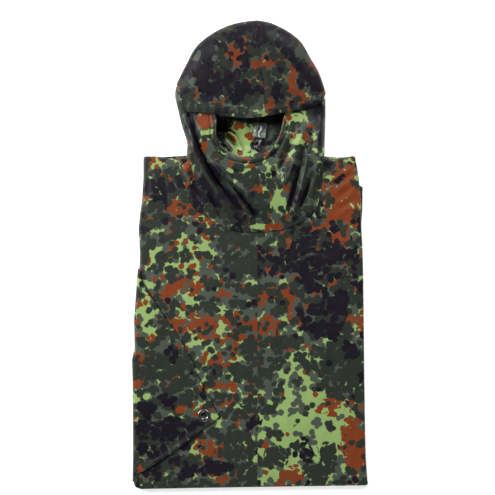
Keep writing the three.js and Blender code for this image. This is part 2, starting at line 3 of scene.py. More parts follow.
import bpy
import numpy as np
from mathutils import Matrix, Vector


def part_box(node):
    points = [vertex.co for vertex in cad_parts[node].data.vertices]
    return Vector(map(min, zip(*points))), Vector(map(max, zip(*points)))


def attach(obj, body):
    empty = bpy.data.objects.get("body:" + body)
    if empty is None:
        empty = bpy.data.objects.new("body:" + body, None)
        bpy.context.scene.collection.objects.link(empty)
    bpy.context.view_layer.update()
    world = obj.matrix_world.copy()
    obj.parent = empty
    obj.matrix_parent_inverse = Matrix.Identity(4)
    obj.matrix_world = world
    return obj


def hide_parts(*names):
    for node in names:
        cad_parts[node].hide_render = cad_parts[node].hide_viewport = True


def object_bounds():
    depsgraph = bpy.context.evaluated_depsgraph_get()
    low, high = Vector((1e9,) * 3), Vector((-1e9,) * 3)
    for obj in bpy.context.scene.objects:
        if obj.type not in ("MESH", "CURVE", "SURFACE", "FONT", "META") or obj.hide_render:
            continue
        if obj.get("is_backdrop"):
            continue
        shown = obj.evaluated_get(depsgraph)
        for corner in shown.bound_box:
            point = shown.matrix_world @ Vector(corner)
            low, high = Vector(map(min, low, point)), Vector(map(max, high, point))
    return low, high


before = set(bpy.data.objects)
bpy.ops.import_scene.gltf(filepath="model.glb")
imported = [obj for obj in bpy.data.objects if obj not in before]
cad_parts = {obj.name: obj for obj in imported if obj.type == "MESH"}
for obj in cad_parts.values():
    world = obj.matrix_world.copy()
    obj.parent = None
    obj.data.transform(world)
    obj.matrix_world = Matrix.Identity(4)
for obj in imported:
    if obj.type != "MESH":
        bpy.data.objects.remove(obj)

cadLow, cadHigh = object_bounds()
print("frame loaded")

# The shapes are worked out in millimetres in the part's own layout, then put in the frame in metres.
wall = 1.4
restGap = 0.4
seamGap = 0.3
hemRise = 0.8
sheetThickness = 0.9
eyelet = {
    "x": -92.0, "y": -323.6, "flange": 12.7, "hole": 6.6, "barrel": 7.4,
    "lift": 1.6, "foot": 0.8, "crest": 1.9,
}

ringLow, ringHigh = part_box("eyelet")
shift = np.array([
    (ringLow.x + ringHigh.x) * 500 - eyelet["x"],
    (ringLow.y + ringHigh.y) * 500 - eyelet["y"],
    0.0,
])


def lerp(a, b, t):
    return a + (b - a) * t


def ramp(value, start, end):
    t = np.clip((np.asarray(value, float) - start) / (end - start), 0, 1)
    return t * t * (3 - 2 * t)


# Value between the rows of a table of key and value.
def readTable(table, at):
    return np.interp(at, [row[0] for row in table], [row[1] for row in table])


# Soft unevenness from -1 to 1 with features about `size` across.
def unevenness(x, y, size, seed):
    lattice = np.random.RandomState(seed).uniform(-1, 1, (128, 128))
    turned = (x * 0.83 + y * 0.56) / size + 40, (y * 0.83 - x * 0.56) / size + 40
    cellX, cellY = np.floor(turned[0]).astype(int), np.floor(turned[1]).astype(int)
    partX, partY = ramp(turned[0] - cellX, 0, 1), ramp(turned[1] - cellY, 0, 1)
    corner = lambda dx, dy: lattice[(cellX + dx) % 128, (cellY + dy) % 128]
    low = lerp(corner(0, 0), corner(1, 0), partX)
    high = lerp(corner(0, 1), corner(1, 1), partX)
    return lerp(low, high, partY)


# Distance from points to a bent line, and how far along it the nearest place is, from 0 to 1.
def nearestOn(line, x, y):
    line = np.array(line, float)
    steps = np.hypot(*(line[1:] - line[:-1]).T)
    reached = np.concatenate([[0], np.cumsum(steps)]) / steps.sum()
    best = np.full(np.shape(x), 1e9)
    along = np.zeros(np.shape(x))
    for k in range(len(line) - 1):
        dx, dy = line[k + 1] - line[k]
        t = np.clip(((x - line[k][0]) * dx + (y - line[k][1]) * dy) / (dx * dx + dy * dy), 0, 1)
        away = np.hypot(x - line[k][0] - dx * t, y - line[k][1] - dy * t)
        along = np.where(away < best, lerp(reached[k], reached[k + 1], t), along)
        best = np.minimum(best, away)
    return best, along


# Height that a table of creases adds, each a line, its rise and its half width, fading at its ends.
def creaseHeight(creases, x, y):
    total = np.zeros(np.shape(x))
    for line, rise, width in creases:
        away, along = nearestOn(line, x, y)
        fade = np.clip(4 * along * (1 - along), 0, 1) ** 0.45
        total += rise * fade * np.exp(-(away / width) ** 1.4)
    return total


# Smooth curve in plan through points, read by its share of length.
class Path:
    def __init__(self, points):
        points = np.array(points, float)
        ends = np.vstack([2 * points[0] - points[1], points, 2 * points[-1] - points[-2]])
        t = np.linspace(0, 1, 24, endpoint=False)[:, None]
        places = []
        for k in range(len(points) - 1):
            p0, p1, p2, p3 = ends[k:k + 4]
            d0, d1, d2 = (np.hypot(*(b - a)) ** 0.5 for a, b in ((p0, p1), (p1, p2), (p2, p3)))
            leave = ((p1 - p0) / d0 - (p2 - p0) / (d0 + d1) + (p2 - p1) / d1) * d1
            reach = ((p2 - p1) / d1 - (p3 - p1) / (d1 + d2) + (p3 - p2) / d2) * d1
            square = -3 * p1 + 3 * p2 - 2 * leave - reach
            cube = 2 * p1 - 2 * p2 + leave + reach
            places.append(p1 + leave * t + square * t**2 + cube * t**3)
        self.places = np.vstack([*places, points[-1:]])
        steps = np.hypot(*(self.places[1:] - self.places[:-1]).T)
        self.length = steps.sum()
        self.shares = np.concatenate([[0], np.cumsum(steps)]) / self.length

    def at(self, share):
        share = np.asarray(share, float)
        return np.stack([np.interp(share, self.shares, self.places[:, axis]) for axis in (0, 1)], -1)

    def along(self, share):
        step = self.at(np.clip(share + 0.004, 0, 1)) - self.at(np.clip(share - 0.004, 0, 1))
        return step / np.linalg.norm(step, axis=-1, keepdims=True)


# Places in a patch between four border curves, at shares u across and v up.
def patchPlaces(low, high, left, right, u, v):
    corner = lambda side, at: side(np.full(np.shape(u), at))
    u3, v3 = u[..., None], v[..., None]
    across = lerp(low(u), high(u), v3) + lerp(left(v), right(v), u3)
    below = lerp(corner(low, 0.0), corner(low, 1.0), u3)
    above = lerp(corner(high, 0.0), corner(high, 1.0), u3)
    return across - lerp(below, above, v3)


# Rings beyond chosen sides of a grid of points: where each point starts, the way out from there,
# and its share of the ring's width.
def ringPlaces(points, steps, sides):
    rows, columns = points.shape[0] - 1, points.shape[1] - 1
    down, up, left, right = (steps if side in sides else 0 for side in ("low", "high", "left", "right"))
    rowNumbers, columnNumbers = np.arange(-down, rows + up + 1), np.arange(-left, columns + right + 1)
    i, j = np.meshgrid(rowNumbers, columnNumbers, indexing="ij")
    nearI, nearJ = np.clip(i, 0, rows), np.clip(j, 0, columns)
    pastI, pastJ = abs(i - nearI), abs(j - nearJ)
    upward = points[np.minimum(rows, nearI + 1), nearJ] - points[np.maximum(0, nearI - 1), nearJ]
    across = points[nearI, np.minimum(columns, nearJ + 1)] - points[nearI, np.maximum(0, nearJ - 1)]
    sideways = unit(np.stack([upward[..., 1], -upward[..., 0]], -1))
    sideways = sideways * np.where(nearJ == 0, -1, 1)[..., None]
    endways = unit(np.stack([across[..., 1], -across[..., 0]], -1))
    endways = endways * np.where(nearI > 0, -1, 1)[..., None]
    turned = 0.5 * np.minimum(pastI, pastJ) / np.maximum(1, np.maximum(pastI, pastJ))
    angle = np.where(pastJ >= pastI, turned, 1 - turned) * math.pi / 2
    acrossShare, upShare = np.cos(angle) * (pastJ > 0), np.sin(angle) * (pastI > 0)
    out = sideways * acrossShare[..., None] + endways * upShare[..., None]
    ring = np.maximum(pastI, pastJ)
    out = np.where(ring[..., None] > 0, unit(out), 0)
    return points[nearI, nearJ], out, ring / steps


def unit(vectors):
    return vectors / np.maximum(1e-9, np.linalg.norm(vectors, axis=-1, keepdims=True))


# Points on arcs that leave a border level and turn down, and the same places with the arc laid flat.
def overArc(start, out, angle, acrossRadius, downRadius):
    angle, acrossRadius, downRadius = np.broadcast_arrays(angle, acrossRadius, downRadius)
    plan = start[..., :2] + out * (acrossRadius * np.sin(angle))[..., None]
    height = start[..., 2] - downRadius * (1 - np.cos(angle))
    flat = start[..., :2] + out * (angle * (acrossRadius + downRadius) / 2)[..., None]
    return np.dstack([plan, height]), flat


# Outward normals of a grid of points, from the cells that meet at each.
def normalsOf(points):
    rising = points[1:, 1:] - points[:-1, :-1]
    falling = points[1:, :-1] - points[:-1, 1:]
    cells = np.pad(unit(np.cross(rising, falling)), ((1, 1), (1, 1), (0, 0)))
    return unit(cells[1:, 1:] + cells[:-1, 1:] + cells[1:, :-1] + cells[:-1, :-1])


# Table of broad soft patches to the leaning toward each colour of the print at each place.
def printLeaning(patches, x, y):
    leaning = np.zeros((*np.shape(x), 4))
    leaning += np.array(usualLeaning)
    for centreX, centreY, reachX, reachY, turn, grey, brown, green, black in patches:
        dx, dy = x - centreX, y - centreY
        across = dx * math.cos(math.radians(turn)) + dy * math.sin(math.radians(turn))
        upward = dy * math.cos(math.radians(turn)) - dx * math.sin(math.radians(turn))
        away = (across / reachX) ** 2 + (upward / reachY) ** 2
        leaning += 0.7 * np.exp(-away ** 1.5)[..., None] * np.array([grey, brown, green, black])
    return leaning


# Leaning toward grey, brown, dark green and black where nothing else is said.
usualLeaning = (0.45, -0.42, 0.0, -0.6)


# Cloth between a grid of points and the same grid moved in by a thickness.
def makeCloth(name, points, flat, leaning, thickness, kept=None, offset=(0.0, 0.0)):
    rows, columns = points.shape[0] - 1, points.shape[1] - 1
    inner = points - normalsOf(points) * np.broadcast_to(thickness, points.shape[:2])[..., None]
    number = np.arange((rows + 1) * (columns + 1)).reshape(rows + 1, columns + 1)
    faces = np.stack([number[:-1, :-1], number[:-1, 1:], number[1:, 1:], number[1:, :-1]], -1)
    faces = faces[kept] if kept is not None else faces.reshape(-1, 4)
    count = number.size
    edges = np.concatenate([faces[:, [k, (k + 1) % 4]] for k in range(4)])
    code, back = edges[:, 0] * count + edges[:, 1], edges[:, 1] * count + edges[:, 0]
    rim = edges[~np.isin(code, back)]
    rimFaces = np.stack([rim[:, 0], rim[:, 0] + count, rim[:, 1] + count, rim[:, 1]], -1)
    allFaces = np.concatenate([faces, faces[:, ::-1] + count, rimFaces])
    places = np.concatenate([points.reshape(-1, 3), inner.reshape(-1, 3)])
    printed = np.concatenate([flat.reshape(-1, 2)] * 2) + np.array(offset)
    leanings = np.concatenate([leaning.reshape(-1, 4)] * 2)
    used, renumbered = np.unique(allFaces, return_inverse=True)
    return makeMesh(name, places[used], renumbered.reshape(-1, 4), printed[used], leanings[used])


# Object from places in millimetres, with its print coordinates in metres and its leanings.
def makeMesh(name, places, faces, printed=None, leanings=None):
    mesh = bpy.data.meshes.new(name)
    mesh.from_pydata(((places + shift) / 1000).tolist(), [], faces.tolist())
    mesh.validate()
    if printed is not None:
        layer = mesh.uv_layers.new(name="print")
        corners = np.zeros(len(mesh.loops), np.int32)
        mesh.loops.foreach_get("vertex_index", corners)
        layer.data.foreach_set("uv", (printed[corners] / 1000).astype(np.float32).ravel())
    if leanings is not None:
        attribute = mesh.attributes.new("leaning", "FLOAT_COLOR", "POINT")
        attribute.data.foreach_set("color", leanings.astype(np.float32).ravel())
    mesh.shade_smooth()
    mesh.set_sharp_from_angle(angle=math.radians(50))
    made = bpy.data.objects.new(name, mesh)
    bpy.context.scene.collection.objects.link(made)
    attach(made, "root")
    return made


# A number in a shader's node tree.
class Number:
    def __init__(self, tree, socket):
        self.tree = tree
        self.socket = socket

    def calculate(self, operation, *others):
        node = self.tree.nodes.new("ShaderNodeMath")
        node.operation = operation
        for place, item in zip(node.inputs, others):
            plug(self.tree, place, item)
        return Number(self.tree, node.outputs[0])

    def __add__(self, other):
        return self.calculate("ADD", self, other)

    def __radd__(self, other):
        return self.calculate("ADD", other, self)

    def __sub__(self, other):
        return self.calculate("SUBTRACT", self, other)

    def __rsub__(self, other):
        return self.calculate("SUBTRACT", other, self)

    def __mul__(self, other):
        return self.calculate("MULTIPLY", self, other)

    def __rmul__(self, other):
        return self.calculate("MULTIPLY", other, self)

    def __truediv__(self, other):
        return self.calculate("DIVIDE", self, other)

    def __pow__(self, other):
        return self.calculate("POWER", self, other)

    def atLeast(self, other):
        return self.calculate("MAXIMUM", self, other)

    def atMost(self, other):
        return self.calculate("MINIMUM", self, other)

    def above(self, other):
        return self.calculate("GREATER_THAN", self, other)

    def sine(self):
        return self.calculate("SINE", self)

    def size(self):
        return self.calculate("ABSOLUTE", self)

    def limited(self):
        return self.atLeast(0.0).atMost(1.0)


def plug(tree, place, item):
    if isinstance(item, Number):
        tree.links.new(item.socket, place)
    elif isinstance(item, bpy.types.NodeSocket):
        tree.links.new(item, place)
    else:
        place.default_value = item


# A material being made.
class Shader:
    def __init__(self, name):
        self.material = bpy.data.materials.new(name)
        self.material.use_nodes = True
        self.tree = self.material.node_tree
        self.tree.nodes.clear()

    def node(self, kind, settings=None, values=None):
        made = self.tree.nodes.new(kind)
        for key, item in (settings or {}).items():
            setattr(made, key, item)
        for key, item in (values or {}).items():
            plug(self.tree, made.inputs[key], item)
        return made

    def number(self, node, output=0):
        return Number(self.tree, node.outputs[output])

    def mixed(self, share, first, second):
        settings = {"data_type": "RGBA"}
        made = self.node("ShaderNodeMix", settings, {0: share, 6: first, 7: second})
        return made.outputs[2]

    def moved(self, vector, amount):
        return self.node("ShaderNodeVectorMath", {"operation": "ADD"}, {0: vector, 1: amount}).outputs[0]

    def noise(self, vector, scale, detail=1.0, output=0):
        values = {"Vector": vector, "Scale": scale, "Detail": detail}
        return self.number(self.node("ShaderNodeTexNoise", None, values), output)

    def finish(self, values, bump=None):
        surface = self.node("ShaderNodeBsdfPrincipled", None, values)
        if bump is not None:
            height, distance = bump
            values = {"Height": height, "Distance": distance, "Strength": 1.0}
            plug(self.tree, surface.inputs["Normal"], self.node("ShaderNodeBump", None, values).outputs[0])
        output = self.node("ShaderNodeOutputMaterial")
        self.tree.links.new(surface.outputs[0], output.inputs[0])
        return self.material


def colour(red, green, blue):
    straight = lambda part: part / 12.92 if part <= 0.04045 else ((part + 0.055) / 1.055) ** 2.4
    return (straight(red / 255), straight(green / 255), straight(blue / 255), 1.0)


printColours = {
    "light": colour(153, 182, 110),
    "grey": colour(78, 86, 76),
    "brown": colour(132, 62, 30),
    "green": colour(46, 52, 45),
    "black": colour(26, 21, 32),
    # Dim grey that the print is mixed toward as painted shade on the hood and crown.
    "dim": colour(34, 32, 35),
}

# Each colour's spots: size of the cells they lie in, the spots' radius as a share of that, and the
# size of the clusters, in metres.
spotSettings = {
    "grey": {"cell": 0.0155, "radius": 0.40, "cluster": 0.027, "at": (0.313, 0.127, 0.0)},
    "brown": {"cell": 0.0145, "radius": 0.40, "cluster": 0.026, "at": (1.731, 0.619, 0.0)},
    "green": {"cell": 0.0150, "radius": 0.41, "cluster": 0.026, "at": (2.377, 1.913, 0.0)},
    "black": {"cell": 0.0150, "radius": 0.41, "cluster": 0.030, "at": (3.119, 2.431, 0.0)},
}


# Cover of one colour's merged round spots: three scatters of spots, where a spot shows if its own
# cluster field is high enough, and the deep middle of a cluster is filled.
def spotCover(shader, place, leaning, settings):
    clusterScale = 1 / settings["cluster"]
    moved = shader.moved(place, settings["at"])
    middle = (shader.noise(moved, clusterScale) - 0.5) * 5.0 + leaning
    cover = ((middle - 0.65) * 12.0).limited()
    for scatter in range(3):
        aside = shader.moved(moved, (0.0513 * scatter, 0.0371 * scatter, 0.0))
        spots = shader.node("ShaderNodeTexVoronoi", {"voronoi_dimensions": "2D"}, {
            "Vector": aside, "Scale": 1 / settings["cell"], "Randomness": 0.62,
        })
        away = shader.number(spots, "Distance")
        chance = shader.node("ShaderNodeSeparateColor", None, {0: spots.outputs["Color"]})
        ownSize = shader.number(chance, 0)
        back = shader.moved(spots.outputs["Position"], (-0.0513 * scatter, -0.0371 * scatter, 0.0))
        field = (shader.noise(back, clusterScale) - 0.5) * 5.0 + leaning
        reach = ownSize * 0.16 + (settings["radius"] - 0.10)
        shown = ((reach - away) * 14.0 + 0.5).limited()
        cover = cover.atLeast(shown.atMost((field * 1000.0).limited()))
    return cover


def clothMaterial(name, seamAt=None, gloss=0.34, shine=0.34, paintedShade=0.0):
    shader = Shader(name)
    printed = shader.node("ShaderNodeUVMap", {"uv_map": "print"}).outputs[0]
    leaning = shader.node("ShaderNodeAttribute", {"attribute_name": "leaning"})
    parts = shader.node("ShaderNodeSeparateColor", None, {0: leaning.outputs["Color"]})
    toward = {
        "grey": shader.number(parts, 0),
        "brown": shader.number(parts, 1),
        "green": shader.number(parts, 2),
        "black": shader.number(leaning, "Alpha"),
    }
    warp = shader.node("ShaderNodeTexNoise", None, {"Vector": printed, "Scale": 95.0, "Detail": 0.0})
    middle = shader.moved(warp.outputs["Color"], (-0.5, -0.5, -0.5))
    shiftBy = shader.node("ShaderNodeVectorMath", {"operation": "SCALE"}, {0: middle, "Scale": 0.0035})
    place = shader.moved(printed, shiftBy.outputs[0])
    if seamAt is not None:
        across = shader.number(shader.node("ShaderNodeSeparateXYZ", None, {0: printed}), 0)
        jump = across.above(seamAt)
        aside = shader.node("ShaderNodeCombineXYZ", None, {0: jump * 0.413, 1: jump * 0.227})
        place = shader.moved(place, aside.outputs[0])
    shade = printColours["light"]
    for key in ("grey", "brown", "green", "black"):
        cover = spotCover(shader, place, toward[key], spotSettings[key])
        shade = shader.mixed(cover, shade, printColours[key])
    # Painted shade: the print is mixed by this share toward a dim grey, so the hood and crown read darker
    # as if shaded.
    if paintedShade > 0:
        shade = shader.mixed(paintedShade, shade, printColours["dim"])
    # A fine plain weave, with some threads a little lighter along the cloth's length.
    threads = shader.node("ShaderNodeMapping", None, {"Vector": printed, "Scale": (1500.0, 12.0, 1.0)})
    lengthwise = shader.noise(threads.outputs[0], 1.0, 2.0)
    crossing = shader.node("ShaderNodeMapping", None, {"Vector": printed, "Scale": (9.0, 900.0, 1.0)})
    crosswise = shader.noise(crossing.outputs[0], 1.0, 2.0)
    tint = lengthwise * 0.22 + crosswise * 0.12 + 0.83
    bright = shader.node("ShaderNodeVectorMath", {"operation": "SCALE"}, {0: shade, "Scale": tint})
    parted = shader.node("ShaderNodeSeparateXYZ", None, {0: printed})
    warpThread = (shader.number(parted, 0) * 5200.0).sine()
    weftThread = (shader.number(parted, 1) * 5200.0).sine()
    crumple = shader.noise(printed, 42.0, 2.0)
    weave = (warpThread * weftThread) * 0.00003 + crumple * 0.0011
    rough = shader.noise(printed, 30.0, 2.0) * 0.12 + (gloss - 0.06)
    return shader.finish({
        "Base Color": bright.outputs[0],
        "Roughness": rough,
        "Specular IOR Level": shine,
    }, (weave, 1.0))


print("materials ready")

# Folded body
body = {"height": 14.0, "bulge": 3.0, "radius": 5.0, "bottom": -467.4, "turn": math.radians(130)}
# Outlines as tables: up and across for the sides, across and up for the ends, across and reach for
# how far the layers behind stand out at the shoulder and up and reach for those at the right.
bodyLeft = [(-467.4, -229), (-458, -233.5), (-442, -232.6), (-409, -232.2), (-300, -232.2), (-255, -232),
            (-213, -230), (-187, -228.5), (-134, -228.5), (-80, -226), (-46, -223.6), (-13, -221),
            (5, -221), (51, -223.5), (85, -220), (105, -217), (151, -214), (197, -214)]
flapLeft = [(-467.4, -229), (-458, -236), (-442, -235.5), (-409, -235), (-359, -235), (-300, -235.3),
            (-255, -235.8), (-213, -237), (-187, -231.5), (-134, -233), (-80, -229), (-46, -227),
            (-13, -222.5), (5, -221)]
bodyRight = [(-467.4, 237.2), (-458, 235.4), (-442, 234), (-409, 232), (-359, 230.6), (-300, 229.8),
             (-255, 229.2), (-213, 228.7), (-134, 227.9), (-46, 226.8), (-13, 226), (5, 225.5), (51, 223),
             (105, 222), (151, 217.6), (197, 210)]
bottomLine = [(-230, -468), (-219, -472.4), (-120, -470.4), (0, -468.4), (120, -466.6), (237, -465)]
shoulderLine = [(-214, 195), (-186, 195), (-176, 191), (-128, 190.5), (140, 191), (175, 190.5),
                (190, 193.4), (212, 196.4)]
behindShoulder = [(-214, 0.4), (-186, 0.8), (-176, 3.6), (-128, 7), (140, 5), (175, 3), (190, 1),
                  (212, 0.4)]
behindRight = [(40, 0), (74, 2.4), (105, 4.4), (132, 7.6), (137, 0.4)]

# Creases of the front: the line, the rise and the half width.
bodyCreases = [
    ([(100, -14), (104, -6), (111, 0), (122, 2), (146, 2)], -2.6, 3.4),
    ([(104, -18), (112, -8), (126, -4)], 1.4, 5.0),
    ([(100, 0), (116, 9), (148, 11)], 1.4, 7.0),
    ([(-54, 50), (-38, 28), (-20, 4)], -2.8, 3.6),
    ([(-62, 34), (-46, 12), (-30, -8)], 1.5, 7.0),
    ([(-40, 40), (-20, 18)], 1.0, 6.0),
    ([(174, 150), (204, 172)], 1.3, 4.0),
    ([(172, 137), (210, 163)], -1.4, 3.4),
    ([(170, 123), (212, 152)], 1.5, 4.2),
    ([(172, 110), (214, 140)], -1.3, 3.4),
    ([(172, 98), (214, 126)], 1.5, 4.4),
    ([(176, 88), (216, 110)], -1.2, 3.6),
    ([(170, 74), (216, 97)], 1.2, 5.0),
    ([(150, 62), (212, 66)], -0.9, 5.0),
    ([(-176, 166), (-170, 130), (-166, 96)], -1.4, 7.0),
    ([(-158, 152), (-148, 118), (-142, 84)], 1.2, 8.0),
    ([(-202, 168), (-198, 132), (-196, 104)], 1.0, 8.0),
    ([(-210, 60), (-168, 66), (-130, 58)], -0.7, 7.0),
    ([(-214, 22), (-180, 30), (-150, 24)], 0.8, 8.0),
    ([(-140, -20), (-90, -34), (-60, -30)], -0.6, 8.0),
    ([(30, -60), (80, -72), (130, -64)], 0.7, 9.0),
    ([(150, -90), (190, -84), (222, -92)], -0.7, 7.0),
    ([(-60, -220), (-20, -236), (30, -228)], 0.6, 9.0),
    ([(60, -300), (120, -312), (180, -300)], -0.6, 9.0),
    ([(-40, -430), (30, -440), (100, -436)], 0.7, 8.0),
]


def frontHeight(x, y):
    acrossBody = 1 - abs(x / 232) ** 4
    alongBody = 1 - abs((y + 136) / 335) ** 6
    level = np.maximum(0, acrossBody) * np.maximum(0, alongBody)
    wave = 0.7 * np.sin(x / 37 + 0.8 * np.sin(y / 61)) * np.sin(y / 53 + 1.3)
    return body["height"] + level * (body["bulge"] + wave)


# Small wrinkles of the front, that fade under the flap and the hood.
def frontWrinkles(x, y):
    small = 0.7 * unevenness(x, y * 0.7, 34, 3) + 0.35 * unevenness(x * 1.2, y * 0.8, 15, 5)
    ridged = 0.5 * (1 - 3 * abs(unevenness(x * 1.3, y * 0.6, 46, 8)))
    open = ramp(flapCover(x, y), 4, -4) * ramp(hoodCover(x, y), 3, -5)
    return (small + np.maximum(-0.3, ridged)) * lerp(0.25, 1, open) + creaseHeight(bodyCreases, x, y) * open


flapEdge = [(-447, -233), (-438, -218), (-427, -199), (-408, -171), (-382, -132), (-350, -93), (-338, -75),
            (-327, -63), (-308, -71), (-278, -88), (-230, -111), (-193, -127), (-152, -153), (-111, -183),
            (-68, -209), (-47, -218), (-24, -223.5)]
neckSeam = [(-126, 129), (-117, 97), (-76, 66), (-45, 48), (10, 43), (58, 47), (100, 62), (128, 82),
            (143, 120)]


# Distance inside the flap, negative outside.
def flapCover(x, y):
    return np.where((y > -447) & (y < -24), readTable(flapEdge, y) - x, -99)


# Distance above the seam of the hood, negative below.
def hoodCover(x, y):
    inside = (x > -126) & (x < 143)
    return np.where(inside, y - readTable(neckSeam, x), -99)


def bodyPlaces(rows, columns, dropped):
    i, j = np.meshgrid(np.arange(rows + 1), np.arange(columns + 1), indexing="ij")
    v = i / rows
    level = lerp(body["bottom"] + body["radius"], 195 - body["radius"], v)
    left = readTable(bodyLeft, level) + body["radius"]
    right = readTable(bodyRight, level) - body["radius"]
    x = lerp(left, right, j / columns)
    top = readTable(shoulderLine, x) - body["radius"]
    y = lerp(readTable(bottomLine, x) + body["radius"], top, v)
    edge = np.minimum(np.minimum(i, rows - i), np.minimum(j, columns - j))
    height = frontHeight(x, y) - dropped + frontWrinkles(x, y) * ramp(edge, 0, 5)
    return np.dstack([x, y, height])


# Where the front shows which colours most: middle, reach and turn of each patch, then the leaning
# toward grey, brown, dark green and black.
frontPatches = [
    (-190, 177, 16, 24, 0, 0.0, 1.2, -0.3, -0.3),
    (-194, 129, 26, 28, 0, -0.2, -0.3, 0.3, 1.7),
    (-150, 147, 27, 26, 0, 0.0, -0.4, 1.0, 0.9),
    (-150, 89, 28, 15, -15, -0.2, 1.8, -0.6, -0.6),
    (-96, 70, 46, 15, -38, -0.2, 1.5, -0.4, -0.6),
    (-192, 72, 44, 24, 0, 1.0, -0.3, 0.5, -0.3),
    (-130, -4, 86, 40, 8, -1.0, -0.05, -0.25, -1.2),
    (-138, -65, 36, 18, 0, -0.6, 1.9, -0.6, -1.0),
    (-118, -97, 26, 16, 20, -1.0, -0.4, -0.5, -1.0),
    (-222, -120, 22, 46, 0, -1.2, -0.3, -0.9, -1.0),
    (-130, -141, 48, 18, 0, -0.2, 1.5, -0.3, -1.0),
    (-22, -6, 44, 70, 0, 0.9, -0.7, 0.9, -0.5),
    (188, 112, 38, 62, 0, -0.8, 2.3, -1.4, -1.0),
    (150, 176, 24, 16, 0, 0.3, 0.0, 0.8, 0.0),
    (136, 2, 96, 66, 20, 0.7, 0.25, 0.3, 1.55),
    (156, -124, 72, 48, 25, 0.8, -0.2, 0.3, 1.7),
    (182, 27, 18, 18, 0, 0.2, 1.5, -0.2, -1.6),
    (212, -139, 22, 18, 50, -0.4, 1.6, -0.6, -2.2),
    (62, -92, 48, 26, 10, 0.7, 0.7, -0.1, -0.6),
    (90, 50, 46, 18, 0, 0.1, 0.9, 0.3, -0.4),
    (-92, -176, 72, 62, 0, -0.4, 0.4, -0.1, -1.2),
    (24, -152, 46, 36, 0, 0.5, 1.0, -0.2, -1.0),
    (20, -220, 44, 40, 0, 0.5, -0.5, 0.9, -0.9),
    (92, -232, 58, 40, -38, -1.0, -0.7, -0.25, -1.2),
    (176, -232, 56, 58, 0, 0.2, -0.5, 1.1, -0.2),
    (206, -200, 22, 20, 0, 0.0, -0.4, 0.4, 1.6),
    (160, -308, 40, 20, 10, -0.2, 1.6, -0.5, -1.0),
    (112, -372, 100, 92, 0, -1.5, -0.9, -1.1, -1.4),
    (50, -404, 24, 26, 0, 0.3, 0.0, 2.4, 0.0),
    (110, -396, 30, 30, 30, 0.3, 0.0, 0.9, 2.7),
    (154, -396, 18, 22, 0, 0.0, 0.0, 2.4, 0.3),
    (88, -444, 30, 18, 0, 0.2, 2.5, 0.0, 0.0),
    (208, -380, 28, 50, 10, 0.0, 2.9, 0.0, 0.0),
    (140, -436, 34, 20, 0, 0.8, 0.3, 1.7, 0.3),
    (-24, -392, 36, 72, 0, 0.5, -0.3, 0.9, -0.5),
    (-62, -425, 30, 14, 0, 0.3, -0.6, 0.3, 2.2),
    (8, -337, 12, 26, -20, 0.0, -0.4, 0.0, 2.2),
    (-86, -400, 34, 13, 30, -0.1, 1.7, -0.3, -0.6),
    (-160, -430, 66, 34, 0, 0.8, -0.4, 0.7, 0.9),
    (-46, -290, 32, 60, 0, 0.2, 0.3, -0.1, -1.0),
]
printEdge = 14.6

# The same print on the body, its front with the join in the print, the hood and its crown. The hood's and
# crown's print is mixed a little toward a dim grey as painted shade, more on the crown.
cloth = clothMaterial("printed_cloth")
frontCloth = clothMaterial("printed_cloth_front", seamAt=printEdge / 1000, gloss=0.40)
hoodCloth = clothMaterial("printed_cloth_hood", gloss=0.42, shine=0.18, paintedShade=0.08)
crownCloth = clothMaterial("printed_cloth_crown", gloss=0.44, shine=0.12, paintedShade=0.22)


def frontPanel():
    inner = bodyPlaces(232, 164, 0)
    start, out, share = ringPlaces(inner, 8, ("low", "high", "left", "right"))
    points, flat = overArc(start, out, body["turn"] * share, body["radius"], body["radius"])
    seam = Path(neckSeam)
    shares = np.linspace(0, 1, 25)
    along = seam.along(shares)
    hole = seam.at(shares) + np.stack([-along[:, 1], along[:, 0]], -1) * 9
    centre = (points[1:, 1:] + points[:-1, :-1]) / 2
    x, y = centre[..., 0], centre[..., 1]
    lowest = np.interp(x, hole[:, 0], hole[:, 1], left=999, right=999)
    opened = (x > -118) & (x < 134) & (y > lowest)
    leaning = printLeaning(frontPatches, points[..., 0], points[..., 1])
    made = makeCloth("frontPanel", points, flat, leaning, sheetThickness, ~opened)
    made.data.materials.append(frontCloth)
    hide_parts("front_panel")
    return made


front = frontPanel()
print("front made")


